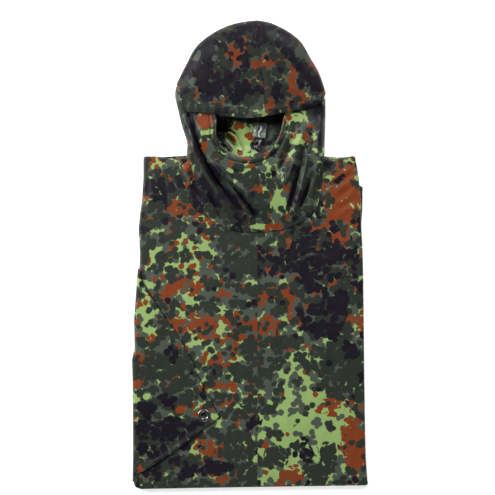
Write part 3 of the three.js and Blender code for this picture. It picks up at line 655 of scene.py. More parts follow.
# Folded layers under the front: edges of the folds show as soft ridges down the sides.
def foldedLayers():
    dropped = wall + restGap
    radius = body["radius"] - dropped
    inner = bodyPlaces(120, 90, dropped)
    arcSteps, sideSteps = 6, 15
    steps = arcSteps + sideSteps
    start, out, share = ringPlaces(inner, steps, ("low", "high", "left", "right"))
    ring = np.rint(share * steps)
    points, flat = overArc(start, out, body["turn"] * np.minimum(ring, arcSteps) / arcSteps, radius, radius)
    down = np.clip((ring - arcSteps) / sideSteps, 0, 1)
    arcFoot = start[..., 2] - radius * (1 - math.cos(body["turn"]))
    height = np.where(down > 0, lerp(5.8, 0.0, down), points[..., 2])
    across = abs(out[..., 0]) > 0.7
    stand = np.where(across, np.where(out[..., 0] > 0, readTable(behindRight, start[..., 1]), 0),
                     np.where(out[..., 1] > 0.5, readTable(behindShoulder, start[..., 0]), 0))
    along = start[..., 0] + 1.7 * start[..., 1]
    fold = np.floor(down * 2.999)
    within = down * 3 - fold
    ownReach = 0.9 * np.sin(along / 61 + fold * 2.1) + 0.5 * np.sin(along / 23 + fold * 4.3)
    bulged = 1.7 * np.sqrt(np.clip(1 - (2 * within - 1) ** 2, 0, 1))
    reach = body["radius"] - 3.0 + bulged + ownReach * 0.7 + stand * ramp(down, 0, 0.1)
    reach = np.where(down >= 1, body["radius"] - 2.8 + stand, reach)
    aside = start[..., :2] + out * reach[..., None]
    points[..., :2] = np.where((down > 0)[..., None], aside, points[..., :2])
    points[..., 2] = height
    flat = np.where((down > 0)[..., None], flat + out * (10 * down)[..., None], flat)
    leaning = printLeaning([(0, -440, 240, 40, 0, 0.2, -0.4, 0.6, 0.8)], points[..., 0], points[..., 1])
    rows, columns = points.shape[0] - 1, points.shape[1] - 1
    number = np.arange((rows + 1) * (columns + 1)).reshape(rows + 1, columns + 1)
    faces = np.stack([number[:-1, :-1], number[:-1, 1:], number[1:, 1:], number[1:, :-1]], -1)
    faces = faces.reshape(-1, 4)
    inside = share.reshape(-1) < 1
    under = np.where(inside, np.arange(number.size) + number.size, np.arange(number.size))
    underPlaces = np.zeros((number.size, 3))
    underPlaces[:, :2] = (start[..., :2] + out * (2.2 * share)[..., None]).reshape(-1, 2)
    places = np.concatenate([points.reshape(-1, 3), underPlaces])
    bottom = under[faces][:, ::-1]
    allFaces = np.concatenate([faces, bottom])
    printed = np.concatenate([flat.reshape(-1, 2)] * 2) + np.array((911.0, 377.0))
    leanings = np.concatenate([leaning.reshape(-1, 4)] * 2)
    used, renumbered = np.unique(allFaces, return_inverse=True)
    made = makeMesh("foldedLayers", places[used], renumbered.reshape(-1, 4), printed[used], leanings[used])
    made.data.materials.append(cloth)
    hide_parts("folded_layers")
    return made


layers = foldedLayers()
print("layers made")

# Corner wrapped over the front
flap = {"top": -30.0, "bottom": -457.0, "hem": 12.0, "turn": math.radians(115)}
flapCreases = [
    ([(-225, -196), (-205, -214), (-176, -226)], 1.2, 8.0),
    ([(-226, -240), (-200, -252), (-160, -254)], -0.9, 7.0),
    ([(-150, -262), (-128, -284), (-112, -316)], 0.8, 7.0),
    ([(-224, -330), (-180, -338), (-130, -334)], -0.7, 8.0),
    ([(-222, -372), (-190, -392), (-160, -398)], 1.0, 7.0),
    ([(-226, -392), (-206, -410)], -1.0, 5.0),
    ([(-190, -300), (-160, -290)], 0.8, 6.0),
]
flapPatches = [
    (-214, -122, 30, 44, 0, -1.2, 0.4, -0.5, -1.2),
    (-186, -160, 26, 26, 0, -0.4, -0.2, 0.3, -0.8),
    (-218, -208, 20, 16, -30, -0.2, 1.9, -0.5, -0.8),
    (-168, -240, 66, 48, 0, 0.7, -0.6, 1.2, -0.4),
    (-152, -247, 12, 10, 0, 0.0, 1.9, -1.2, 0.0),
    (-226, -260, 12, 10, 0, 0.0, 1.6, -1.0, 0.0),
    (-206, -286, 8, 7, 0, -3.4, -2.4, -3.4, -2.4),
    (-170, -376, 96, 62, 0, 0.9, -0.5, 0.6, 1.0),
    (-186, -350, 44, 26, 0, 0.2, -0.4, 0.2, 0.8),
    (-140, -308, 13, 18, 0, 0.0, 2.0, -0.6, -1.6),
    (-180, -300, 50, 14, 0, 0.2, 0.0, 0.6, 0.8),
    (-70, -326, 12, 9, 0, -2.6, -2.2, -2.6, -2.0),
    (-88, -306, 14, 10, 0, -0.4, 2.0, -0.4, -1.2),
]


def flapHeight(x, y):
    resting = frontHeight(x, y) + restGap + wall
    level = frontHeight(eyelet["x"], eyelet["y"]) + eyelet["lift"] + wall
    away = np.hypot(x - eyelet["x"], y - eyelet["y"])
    rumpled = 0.8 + 0.5 * unevenness(x, y, 30, 12) + creaseHeight(flapCreases, x, y)
    near = ramp(away, 62, 34)
    curled = 1.8 * ramp(flapCover(x, y), 26, 4) * ramp(y, -440, -415) * ramp(y, -40, -80)
    free = np.maximum(0, rumpled) * (1 - ramp(away, 44, 20)) + curled * (1 - ramp(away, 40, 24))
    return lerp(resting, level, near) + free


# Share across the hem of each of its rows of points, and the height of each below the hem's top.
hemRows = [(0, 0), (0.4, 0), (0.75, 0), (0.9, 0.1), (0.96, 0.6), (0.99, 1.4), (1, 2.4)]


def flapGrid():
    radius = body["radius"] + wall + restGap
    rows = np.concatenate([np.linspace(flap["bottom"], -327, 38), np.linspace(-327, flap["top"], 87)[1:]])
    y, column = np.meshgrid(rows, np.arange(44 + len(hemRows)), indexing="ij")
    left = readTable(flapLeft, y) + radius
    free = np.maximum(left + 3, readTable(flapEdge, y))
    free = free + 0.5 * np.sin(y / 9.3) * ramp(free - left, 10, 40)
    hem = np.maximum(left + 1, free - np.minimum(flap["hem"], (free - left) / 2))
    inHem = np.clip(column - 44, 0, len(hemRows) - 1)
    share = np.array([row[0] for row in hemRows])[inHem]
    below = np.array([row[1] for row in hemRows])[inHem]
    x = np.where(column <= 43, lerp(left, hem - 2, column / 43), lerp(hem, free, share))
    pinched = 0.35 * (0.85 + 0.3 * np.sin(y / 4.1))
    wide = ramp(free - left, 6, 30)
    hemmed = np.where(column > 43, pinched * wide, 0)
    return np.dstack([x, y, flapHeight(x, y) + hemmed - below * (0.3 + 0.7 * wide)]), hemmed


def cornerFlap():
    inner, hemmed = flapGrid()
    radius = body["radius"] + wall + restGap
    steps = 8
    start, out, share = ringPlaces(inner, steps, ("left",))
    out = np.where(abs(out) > 0, np.array([-1.0, 0.0]), 0.0)
    points, flat = overArc(start, out, flap["turn"] * share, radius, radius)
    thickness = np.full(points.shape[:2], sheetThickness)
    thickness[:, steps:] += hemmed
    centre = (points[1:, 1:] + points[:-1, :-1]) / 2
    away = np.hypot(centre[..., 0] - eyelet["x"], centre[..., 1] - eyelet["y"])
    leaning = printLeaning(flapPatches, points[..., 0], points[..., 1])
    made = makeCloth("cornerFlap", points, flat, leaning, thickness, away > 9.4, (1307.0, 211.0))
    made.data.materials.append(cloth)
    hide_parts("corner_flap")
    return made, points


flapPiece, flapPoints = cornerFlap()
print("flap made")

# Hood
hood = {"top": 467.4, "sideRoll": 14.0, "tunnelWidth": 11.0, "tunnelHeight": 2.4, "crownRoll": 48.0,
        "crownTurn": math.radians(108), "brimHem": 14.0, "sideInset": 3.4, "crownInset": 4.9}
hoodLeft = [(-128, 129), (-129, 165), (-127, 195), (-127, 225), (-138, 261), (-146, 295), (-151, 318),
            (-149, 333)]
hoodRight = [(145, 120), (145, 155), (148, 189), (150, 225), (151.5, 275), (151.5, 312)]
outlineLeft = [(-148, 340), (-131, 374), (-107, 416), (-69, 445), (-28, 462), (14, 468)]
outlineRight = [(14, 468), (40, 463), (73, 447), (101, 425), (121, 392), (138, 363), (152, 322)]
brimLeft = [(-126, 283), (-74, 278), (-28, 270.5), (5, 270), (30, 273)]
brimRight = [(30, 273), (88, 285), (121, 293), (143, 301)]
faceRim = [(-100, 312), (-74, 296), (-67, 272), (-66, 232), (-53, 210), (-30, 197), (2, 192), (28, 200),
           (45, 214), (59, 240), (67, 272), (76, 296), (105, 303)]
throatLines = [(0, 0), (0.25, 0.15), (0.36, 0.25), (0.5, 0.48), (0.66, 0.76), (0.77, 0.86), (1, 1)]
backFootLeft = [(-112, 182), (-114, 206)]
backFootRight = [(131, 182), (135, 206)]

crownCreases = [
    ([(-43, 383), (-34, 364), (-26, 348)], -3.4, 4.4),
    ([(-52, 384), (-44, 366), (-36, 350)], 2.6, 6.0),
    ([(-106, 413), (-98, 398), (-92, 384)], 2.2, 4.4),
    ([(-98, 418), (-90, 402), (-82, 388)], -2.2, 5.0),
    ([(-128, 348), (-110, 340), (-100, 322)], 2.2, 6.0),
    ([(-112, 318), (-84, 312), (-60, 316)], -1.8, 6.0),
    ([(-90, 296), (-60, 294), (-30, 288)], 0.9, 5.0),
    ([(60, 380), (80, 366), (104, 360)], -2.4, 7.0),
    ([(40, 340), (70, 334), (96, 322)], 2.2, 7.0),
    ([(96, 330), (118, 318), (136, 312)], -2.6, 5.0),
    ([(56, 300), (84, 304), (112, 306)], 0.9, 5.0),
    ([(-20, 430), (10, 424), (40, 432)], -2.0, 8.0),
    ([(70, 424), (86, 404), (108, 380)], 2.4, 6.0),
    ([(-12, 322), (4, 310), (20, 314)], -1.4, 6.0),
    ([(-74, 420), (-66, 398), (-62, 372)], 2.0, 7.0),
    ([(-14, 412), (-8, 392), (-10, 366)], 1.8, 8.0),
    ([(96, 392), (104, 366), (106, 344)], -2.0, 6.0),
]
crownPatches = [
    (0, 390, 150, 90, 0, 0.8, -0.15, 0.5, 1.0),
    (-10, 446, 70, 18, 0, 0.0, -0.2, 0.5, 0.9),
    (-104, 372, 44, 60, 30, 0.2, -0.3, 0.1, 1.2),
    (-56, 330, 50, 26, 0, 0.1, -0.3, 0.6, 0.9),
    (-112, 315, 26, 12, 0, 1.2, 0.2, 0.3, -0.6),
    (-66, 433, 8, 7, 0, 0.0, 2.4, 0.0, -1.0),
    (-6, 431, 9, 8, 0, 0.0, 2.2, 0.0, -1.0),
    (-32, 411, 13, 11, 0, 0.0, 2.2, -0.6, -1.8),
    (-24, 385, 12, 17, 15, 0.0, 2.4, -0.8, -2.0),
    (-66, 359, 13, 12, 0, 0.0, 2.2, 0.0, -1.4),
    (-42, 355, 8, 7, 0, 0.0, 2.0, 0.0, -1.0),
    (24, 363, 18, 24, 0, 0.2, 1.9, -0.3, -1.2),
    (36, 331, 8, 20, 0, 0.0, 2.4, -0.4, -1.4),
    (52, 387, 18, 14, 0, -0.1, 2.0, -0.4, -1.2),
    (84, 427, 11, 9, -40, 0.0, 2.0, 0.0, -0.6),
    (84, 347, 9, 24, 0, 0.0, 2.3, -0.8, -1.2),
    (104, 315, 18, 13, 0, 0.0, 2.5, -0.8, -1.4),
    (124, 373, 11, 13, 0, 0.0, 2.0, 0.0, -0.8),
    (38, 294, 7, 18, 10, 0.0, 2.8, 0.0, -1.2),
    (-136, 337, 9, 9, 0, 0.0, 1.8, 0.0, -0.8),
    (36, 404, 20, 12, 0, 1.5, -0.4, -0.2, -1.2),
    (8, 372, 12, 12, 0, 1.5, -0.4, 0.0, -1.2),
    (104, 395, 10, 12, 0, 1.3, 0.0, 0.0, -0.8),
    (4, 308, 18, 10, 0, 1.4, 0.0, 0.3, -0.8),
    (16, 286, 20, 11, 0, -1.0, -0.4, -0.9, -1.8),
    (-8, 282, 14, 7, 0, -0.5, 0.2, -0.5, -1.4),
    (108, 344, 14, 20, 0, 0.0, -0.8, 0.4, 1.5),
    (62, 318, 22, 26, 0, 0.2, 0.1, 0.7, 0.5),
    (-64, 357, 6, 6, 0, 0.0, -3.0, 1.4, 2.6),
    (-12, 389, 5, 6, 0, 0.0, -3.0, 1.0, 2.6),
    (-72, 389, 5, 4, 0, 2.2, 0.0, -2.4, -3.0),
    (-48, 392, 6, 5, 0, 2.2, 0.0, -2.4, -3.0),
    (-108, 392, 8, 16, -30, 1.6, 0.0, -1.0, -2.0),
    (-114, 345, 10, 5, 40, 1.6, 0.6, -1.0, -2.2),
    (-78, 343, 5, 5, 0, 1.8, 0.0, -1.6, -2.6),
    (-88, 320, 7, 5, 20, 1.6, 0.2, -1.4, -2.0),
    (-30, 322, 8, 6, 0, 1.2, 0.0, -1.0, -1.8),
    (76, 374, 8, 8, 0, 1.4, 0.0, -1.0, -2.0),
    (52, 352, 7, 6, 0, 1.2, 0.0, -0.8, -1.6),
    (-56, 312, 4, 4, 0, -2.2, -1.0, -2.4, -2.8),
    (-76, 285, 66, 13, -6, 1.3, 0.0, 0.9, 0.5),
    (-34, 276, 5, 3, 0, -3.2, -1.0, -3.2, -2.8),
]


def seamX(y):
    return lerp(30, 14, (y - 273) / (hood["top"] - 273))


def crownHeight(x, y):
    domed = 36.5 - 16 * abs(x / 140) ** 2.5
    return domed - 2.5 * ramp(y, 320, 268) - 2 * ramp(abs(x - seamX(y)), 12, 0)


def crownRumple(x, y):
    soft = 1.0 * unevenness(x, y, 42, 21) + 0.45 * unevenness(x, y, 18, 22)
    puckered = 0.35 * np.sin(x / 2.9 + 1.2 * np.sin(x / 17)) * ramp(y, 316, 292)
    return soft + puckered + creaseHeight(crownCreases, x, y)


def crownHalf(name, node, brimTable, outlineTable, columns, seamSide):
    brim, outline = Path(brimTable), Path(outlineTable)
    shares = np.arange(columns + 1) / columns
    gap = np.array([seamSide * seamGap / 2, 0.0])
    starts, ends = brim.at(shares) + gap, outline.at(shares) + gap
    length = np.hypot(*(ends - starts).T)
    roll = np.minimum(hood["crownRoll"], length / 2)
    hemWidth = np.minimum(hood["brimHem"], 0.3 * length)
    hemRows, freeRows, rollSteps = 4, 30, 16
    i, j = np.meshgrid(np.arange(hemRows + freeRows + 1), np.arange(columns + 1), indexing="ij")
    inHem = lerp(0, hemWidth[j], np.minimum(i, hemRows) / hemRows)
    pastHem = lerp(hemWidth[j] + 1.2, (length - roll)[j], (i - hemRows - 1) / (freeRows - 1))
    distance = np.where(i <= hemRows, inHem, pastHem)
    outward = unit(ends - starts)[j]
    plan = starts[j] + outward * distance[..., None]
    rise = np.where(i <= hemRows, hemRise, 0) - np.where(i == 0, 0.5, 0)
    x, y = plan[..., 0], plan[..., 1]
    calm = ramp(abs(x - seamX(y)), 0, 10)
    inner = np.dstack([plan, crownHeight(x, y) + rise + crownRumple(x, y) * calm])
    start, _, share = ringPlaces(inner, rollSteps, ("high",))
    out = np.concatenate([outward, np.repeat(outward[-1:], rollSteps, 0)])
    out = np.where(share[..., None] > 0, out, 0.0)
    across = np.broadcast_to(roll, share.shape)
    down = start[..., 2] / (1 - math.cos(hood["crownTurn"]))
    points, flat = overArc(start, out, hood["crownTurn"] * share, across, down)
    x, y = points[..., 0], points[..., 1]
    flatX, flatY = flat[..., 0], flat[..., 1]
    ripple = 0.6 * unevenness(flatX, flatY, 22, 31) + 0.3 * unevenness(flatX, flatY, 11, 32)
    around = np.sin(np.clip(share, 0, 1) * math.pi)
    points[..., :2] += out * (ripple * around)[..., None]
    points[..., 2] = np.maximum(0, points[..., 2] + ripple * around * 0.5)
    thickness = sheetThickness + np.where(np.arange(points.shape[0])[:, None] <= hemRows, hemRise, 0)
    leaning = printLeaning(crownPatches, x, y)
    made = makeCloth(name, points, flat, leaning, thickness, None, (1913.0 + 400 * seamSide, 1103.0))
    made.data.materials.append(crownCloth)
    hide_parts(node)
    return made, points


crownLeft, crownLeftPoints = crownHalf(
    "hoodCrownLeft", "hood_crown_left", brimLeft, outlineLeft, 66, -1,
)
crownRight, crownRightPoints = crownHalf(
    "hoodCrownRight", "hood_crown_right", brimRight, outlineRight, 58, 1,
)
print("crown made")

throatFolds = [
    ([(-131, 262), (-125, 232), (-113, 199), (-84, 153), (-56, 108), (-22, 68)], 8.5, 5.0),
    ([(-128, 316), (-122, 284), (-112, 246), (-99, 208), (-84, 178), (-67, 149), (-40, 113), (-12, 78)],
     -12.0, 4.8),
    ([(-88, 196), (-60, 160), (-38, 133), (-16, 101), (6, 70)], 8.0, 5.0),
    ([(-56, 152), (-26, 124), (-4, 98), (16, 68)], -11.0, 4.8),
    ([(-80, 180), (-46, 151), (-14, 123), (8, 97), (24, 70)], 4.0, 7.0),
    ([(-127, 216), (-127, 142), (-112, 96)], 3.5, 5.0),
    ([(-116, 186), (-112, 132), (-96, 98)], -7.0, 4.6),
    ([(-100, 134), (-80, 96), (-72, 76)], 3.4, 6.0),
    ([(-84, 122), (-64, 88), (-54, 60)], -7.0, 4.4),
    ([(108, 214), (98, 167), (90, 137), (83, 111), (79, 82)], -11.0, 4.8),
    ([(118, 208), (108, 160), (98, 112), (87, 82)], 6.0, 7.0),
    ([(121, 156), (111, 122), (98, 84)], -7.0, 4.6),
    ([(136, 204), (132, 150), (121, 102)], 5.5, 6.5),
    ([(145, 156), (139, 112), (126, 80)], -4.5, 4.0),
    ([(94, 206), (82, 165), (66, 132)], 5.0, 7.5),
    ([(90, 236), (76, 202), (60, 171), (44, 148)], -6.0, 5.0),
    ([(74, 224), (56, 190), (38, 166)], 3.0, 6.0),
    ([(82, 92), (96, 74), (110, 88)], 3.0, 3.0),
    ([(90, 82), (102, 66), (114, 78)], 2.6, 3.0),
    ([(86, 104), (98, 92), (106, 98)], -2.6, 3.0),
    ([(-8, 76), (4, 56)], 2.0, 3.0),
    ([(4, 78), (14, 56)], -2.2, 3.0),
    ([(-20, 86), (-6, 62)], 2.0, 3.5),
    ([(20, 72), (26, 54)], 1.4, 3.0),
    ([(60, 72), (70, 54)], -1.6, 3.0),
    ([(30, 168), (10, 150), (-14, 144)], 1.6, 7.0),
    ([(-88, 304), (-80, 273), (-78, 229), (-62, 201), (-35, 185.5), (2, 179.5)], -3.4, 2.0),
    ([(2, 179.5), (33, 188), (55, 205), (71.5, 236), (79.5, 270), (86, 302)], -2.6, 2.0),
    ([(-98, 256), (-95, 218), (-86, 196)], 3.4, 4.5),
    ([(92, 270), (86, 234), (66, 204)], -3.4, 6.0),
    ([(110, 274), (104, 238), (94, 214)], 3.2, 7.0),
    ([(126, 268), (126, 222), (116, 192)], -4.0, 6.0),
    ([(140, 262), (140, 222), (136, 196)], 3.0, 6.0),
]
throatPatches = [
    (-84, 153, 90, 5, -60, 1.3, 0.3, 0.2, -1.3),
    (-44, 133, 50, 5, -50, 0.5, 0.9, 0.2, -0.9),
    # Painted shade: thin black strips laid along the deep grooves of the folds on the left.
    (-104, 212, 34, 9, -72, 0.0, -1.2, 0.8, 2.4),
    (-76, 162, 36, 9, -58, 0.0, -1.2, 0.6, 2.4),
    (-40, 112, 36, 9, -54, 0.0, -1.2, 0.6, 2.4),
    (-26, 122, 38, 7, -48, 0.0, -1.0, 0.4, 2.0),
    (4, 84, 20, 7, -58, 0.0, -1.0, 0.4, 2.0),
    (-93, 264, 20, 18, 0, -0.2, 2.2, -0.6, -0.8),
    # Painted shadow: a black strip down the deep groove by the brim's left corner.
    (-119, 268, 7, 26, 12, 0.0, -1.4, 0.6, 2.4),
    (-86, 241, 15, 7, 0, -2.0, -1.0, -1.6, -1.6),
    (-92, 214, 9, 17, 0, 0.0, 1.9, 0.0, -0.4),
    (-125, 172, 9, 40, 0, 0.2, 1.5, -0.6, -0.9),
    (-120, 246, 14, 42, 0, 0.6, -0.2, 1.0, 0.8),
    (-80, 200, 15, 22, 0, 1.2, -0.5, 0.2, -0.8),
    (-34, 184, 42, 10, 0, 1.3, -0.5, 0.2, -1.0),
    (-38, 178, 6, 9, 0, 0.0, 2.2, -0.4, 0.0),
    (-42, 167, 14, 5, -40, -2.0, -1.0, -2.0, -1.6),
    (-70, 158, 10, 9, -40, 0.0, 2.3, -0.4, -0.6),
    (-94, 120, 30, 52, -30, 0.3, -0.7, 0.9, 1.7),
    (-46, 106, 52, 24, -48, 0.5, -1.2, 1.6, 0.4),
    (-10, 142, 46, 24, 0, 0.7, -0.6, 1.0, -0.3),
    (-30, 144, 7, 4, -20, -2.2, -1.2, -2.0, -1.0),
    (-12, 163, 13, 5, 25, -1.7, -1.2, -1.5, -1.4),
    (4, 170, 6, 8, 0, 0.0, 2.0, -0.5, 0.0),
    (10, 149, 10, 6, 0, 0.0, 2.2, -0.5, 0.0),
    (40, 162, 28, 20, 30, -1.0, -0.9, -0.4, -0.9),
    (47, 160, 9, 9, 0, 0.0, -0.5, 0.4, 2.2),
    (16, 124, 9, 8, 0, 0.0, 2.6, -0.5, 0.0),
    (2, 118, 6, 6, 0, 0.0, 0.0, 0.0, 2.2),
    (18, 94, 28, 26, 0, 0.5, -0.8, 1.3, -0.2),
    (55, 94, 15, 30, -8, -1.4, -1.0, -0.9, -1.5),
    (36, 76, 11, 6, 0, 0.0, 2.2, -0.5, 0.0),
    (108, 152, 32, 54, 0, 0.9, -0.8, 1.1, 0.2),
    # Painted shade and painted highlight on the right-hand folds: black strips along the grooves, grey
    # strips along the ridges between them.
    (94, 150, 54, 6, 72, 0.0, -1.0, 0.6, 2.2),
    (104, 172, 34, 6, 74, 1.8, -0.8, -0.6, -2.0),
    (122, 168, 36, 8, 80, 1.6, -0.8, -0.5, -1.8),
    (109, 118, 34, 5, 70, 0.0, -1.0, 0.6, 2.0),
    (124, 120, 9, 17, 0, 0.0, 1.7, 0.0, -0.4),
    (102, 82, 28, 15, 0, 1.2, -0.6, 0.5, 0.0),
    (66, 212, 20, 24, 0, 1.1, -0.4, 0.4, -0.8),
    (88, 267, 24, 14, 0, -1.3, -0.8, -0.9, -1.5),
    (78, 271, 7, 7, 0, 0.0, 3.0, 0.0, 0.0),
    (80, 250, 11, 8, 0, 0.0, -0.4, 2.2, 0.4),
    (100, 226, 18, 15, 20, -1.4, -0.8, -1.0, -1.5),
    (84, 231, 7, 9, 0, 0.0, 2.4, 0.0, -0.4),
    (84, 203, 13, 4, 35, -2.0, -1.2, -1.9, -1.5),
    (130, 208, 10, 5, 0, -1.6, -1.0, -1.4, -1.6),
    (136, 244, 16, 40, 0, 0.0, -0.6, 0.6, 1.7),
    (128, 232, 8, 6, 0, -1.5, -1.0, -1.3, -1.8),
    (54, 214, 5, 4, 0, -2.2, -1.0, -2.0, -1.5),
    (16, 54, 20, 6, 0, -1.8, -0.6, -1.5, -1.6),
    (48, 54, 18, 7, 0, 0.0, 2.6, -0.8, -0.6),
]


def underHood(x, y):
    return lerp(frontHeight(x, np.minimum(y, 186)), 0, ramp(y, 200, 224))


def throatHeight(x, y, v):
    rounded = 30 - 3 * (x / 140) ** 2
    cheek = crownHeight(x, np.minimum(y, 330)) - 5.2 - 7 * ramp(y, 300, 330)
    open = lerp(rounded, cheek, ramp(y, 232, 284))
    seam = frontHeight(x, y) + 0.15 + wall
    lifted = lerp(seam, open, ramp(v, -0.05, 0.42))
    near = ramp(y, 272, 250)
    soft = 0.9 * unevenness(x, y, 26, 41) + 0.45 * unevenness(x, y, 13, 42)
    puckers = 0.45 * np.sin(x / 2.3 + 1.5 * np.sin(x / 19)) * ramp(v, 0.12, 0.0)
    folds = creaseHeight(throatFolds, x, y) + soft
    folds = np.where(folds > 0, folds * near, folds * (0.6 + 0.4 * near))
    return lifted + folds * ramp(v, 0, 0.2) + puckers


def sideTurn(edgeHeight, x, y):
    room = edgeHeight - underHood(x, y) - restGap
    short = (room - wall) / (1 - wall / hood["sideRoll"])
    steep = short >= hood["sideRoll"]
    part = np.arccos(1 - np.clip(short, 0.3, hood["sideRoll"]) / hood["sideRoll"])
    return np.where(steep, math.pi / 2, part), np.where(steep, room, hood["sideRoll"])


def sideBorder(table, inward):
    path = Path(table)

    def border(v):
        place = path.at(v)
        edgeX = place[..., 0] + inward * hood["sideRoll"]
        angle, _ = sideTurn(throatHeight(edgeX, place[..., 1], v), edgeX, place[..., 1])
        place[..., 0] += inward * hood["sideRoll"] * np.sin(angle)
        return place

    return border


def throatGrid(rows, columns, rimRows):
    left, right = sideBorder(hoodLeft, 1), sideBorder(hoodRight, -1)
    end = lambda side, at: tuple(side(np.array(at, float)))
    seam = Path([end(left, 0), *neckSeam[1:-1], end(right, 0)])
    border = Path([end(left, 1), *faceRim, end(right, 1)])
    low = lambda u: seam.at(readTable(throatLines, u))
    i, j = np.meshgrid(np.arange(rows + rimRows + 1), np.arange(columns + 1), indexing="ij")
    u = j / columns
    length = np.linalg.norm(border.at(u) - low(u), axis=-1)
    plain = 1 - hood["tunnelWidth"] / length
    v = np.where(i <= rows, plain * i / rows, lerp(plain, 1, (i - rows) / rimRows))
    plan = patchPlaces(low, border.at, left, right, u, v)
    return np.dstack([plan, throatHeight(plan[..., 0], plan[..., 1], v)]), v


def hoodThroat():
    rows, rimRows, steps = 150, 10, 8
    inner, v = throatGrid(rows, 240, rimRows)
    start, out, share = ringPlaces(inner, steps, ("left", "right"))
    angle, down = sideTurn(start[..., 2], start[..., 0], start[..., 1])
    points, flat = overArc(start, out, angle * share, hood["sideRoll"], down)
    leaning = printLeaning(throatPatches, points[..., 0], points[..., 1])
    made = makeCloth("hoodThroat", points, flat, leaning, sheetThickness, None, (401.0, 1709.0))
    made.data.materials.append(hoodCloth)
    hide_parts("hood_throat")
    band = inner[rows:, 48:193]
    return made, inner, band


throat, throatPoints, rimBand = hoodThroat()


# Drawcord tunnel round the face opening, puffed along its middle by the cord inside.
def drawcordTunnel():
    rows, columns = rimBand.shape[0] - 1, rimBand.shape[1] - 1
    i, j = np.meshgrid(np.arange(rows + 1), np.arange(columns + 1), indexing="ij")
    across = i / rows
    gathered = 0.85 + 0.15 * np.sin(j * 0.56 + 1.3 * np.sin(j / 11))
    puff = 0.7 + 2.4 * np.sin(math.pi * across) ** 0.8 * gathered
    base = rimBand + normalsOf(rimBand) * restGap
    points = base + normalsOf(rimBand) * puff[..., None]
    leaning = printLeaning(throatPatches, points[..., 0], points[..., 1])
    made = makeCloth("drawcordTunnel", points, points[..., :2], leaning, puff, None, (401.0, 1709.0))
    made.data.materials.append(cloth)
    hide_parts("drawcord_tunnel")
    return made, points


tunnel, tunnelPoints = drawcordTunnel()
print("throat made")

backFolds = [
    ([(-76, 238), (-48, 245), (-30, 234), (-14, 206)], 10.0, 4.0),
    ([(-70, 226), (-46, 234), (-26, 206)], -1.2, 4.0),
    ([(-64, 220), (-52, 223), (-36, 204)], 6.0, 3.4),
    ([(-40, 262), (-10, 252), (4, 224)], 2.0, 9.0),
    ([(44, 268), (52, 248), (40, 222)], 2.6, 9.0),
    ([(30, 262), (38, 244), (30, 224)], -1.0, 7.0),
]
backPatches = [
    (-14, 228, 26, 34, 10, -2.0, -1.0, -1.8, -2.0),
    (-40, 238, 18, 14, 0, -1.2, -0.2, -0.8, -1.2),
    (-22, 254, 14, 8, 0, 0.0, 2.6, 0.0, 0.0),
    (-2, 236, 10, 8, 0, 0.0, 2.6, 0.0, 0.0),
    # Painted shadow: two thin black strips along the inner fold, where its shadow line falls.
    (-54, 246, 18, 3.4, 0, 0.0, 0.0, 0.0, 3.4),
    (-29, 238, 15, 3.0, -45, 0.0, 0.0, 0.0, 3.4),
    (-35, 231, 15, 4.5, -45, 0.0, 3.0, 0.0, -1.0),
    (-58, 254, 16, 5, 0, 0.0, 1.6, 1.2, 0.8),
    (-58, 230, 10, 2.4, -50, 0.0, 0.0, 2.6, 2.0),
    (6, 218, 12, 11, 0, 0.0, 0.0, 1.0, 2.8),
    (44, 240, 30, 40, 0, 0.6, -0.4, 1.2, 0.4),
    (-66, 252, 20, 20, 0, 0.3, 0.0, 0.8, 1.0),
]


def backHeight(x, y):
    onBody = frontHeight(x, np.minimum(y, 186)) - wall
    return lerp(onBody, 0, ramp(y, 190, 219)) + wall + creaseHeight(backFolds, x, y)


def insideOf(table, distance):
    path = Path(table)
    shares = [path.shares[24 * k] for k in range(len(table))]
    along = path.along(np.array(shares))
    return [(x + way[1] * distance, y - way[0] * distance) for (x, y), way in zip(table, along)]


def hoodBack():
    outline = insideOf([*outlineLeft, *outlineRight[1:]], hood["crownInset"])
    leftSide = insideOf(hoodLeft, hood["sideInset"])[3:]
    rightSide = insideOf(hoodRight[::-1], hood["sideInset"])[::-1][3:]
    left = Path([*backFootLeft, *leftSide, *outline[:3]])
    top = Path(outline[2:len(outline) - 3])
    right = Path([*backFootRight, *rightSide, *outline[len(outline) - 4:][::-1]])
    low = Path([tuple(left.at(0.0)), tuple(right.at(0.0))])
    rows, columns = 120, 130
    i, j = np.meshgrid(np.arange(rows + 1), np.arange(columns + 1), indexing="ij")
    plan = patchPlaces(low.at, top.at, left.at, right.at, j / columns, (i / rows) ** 1.5)
    edge = np.minimum(np.minimum(i, rows - i), np.minimum(j, columns - j))
    soft = np.maximum(0, 0.5 + 0.6 * unevenness(plan[..., 0], plan[..., 1], 24, 51)) * ramp(edge, 0, 6)
    points = np.dstack([plan, backHeight(plan[..., 0], plan[..., 1]) + soft * 0.5])
    leaning = printLeaning(backPatches, points[..., 0], points[..., 1])
    made = makeCloth("hoodBack", points, plan, leaning, sheetThickness, None, (2711.0, 307.0))
    made.data.materials.append(cloth)
    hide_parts("hood_back")
    return made


back = hoodBack()
print("back made")

# Blank labels
careLabel = {
    "x": 19.0, "y": 248.0, "width": 26.0, "length": 30.0, "turn": -0.09, "thickness": 0.5, "lift": 1.3,
}
tabLabel = {
    "x": 15.5, "y": 219.0, "width": 14.0, "length": 25.0, "turn": -0.08, "thickness": 0.6, "lift": 1.6,
}


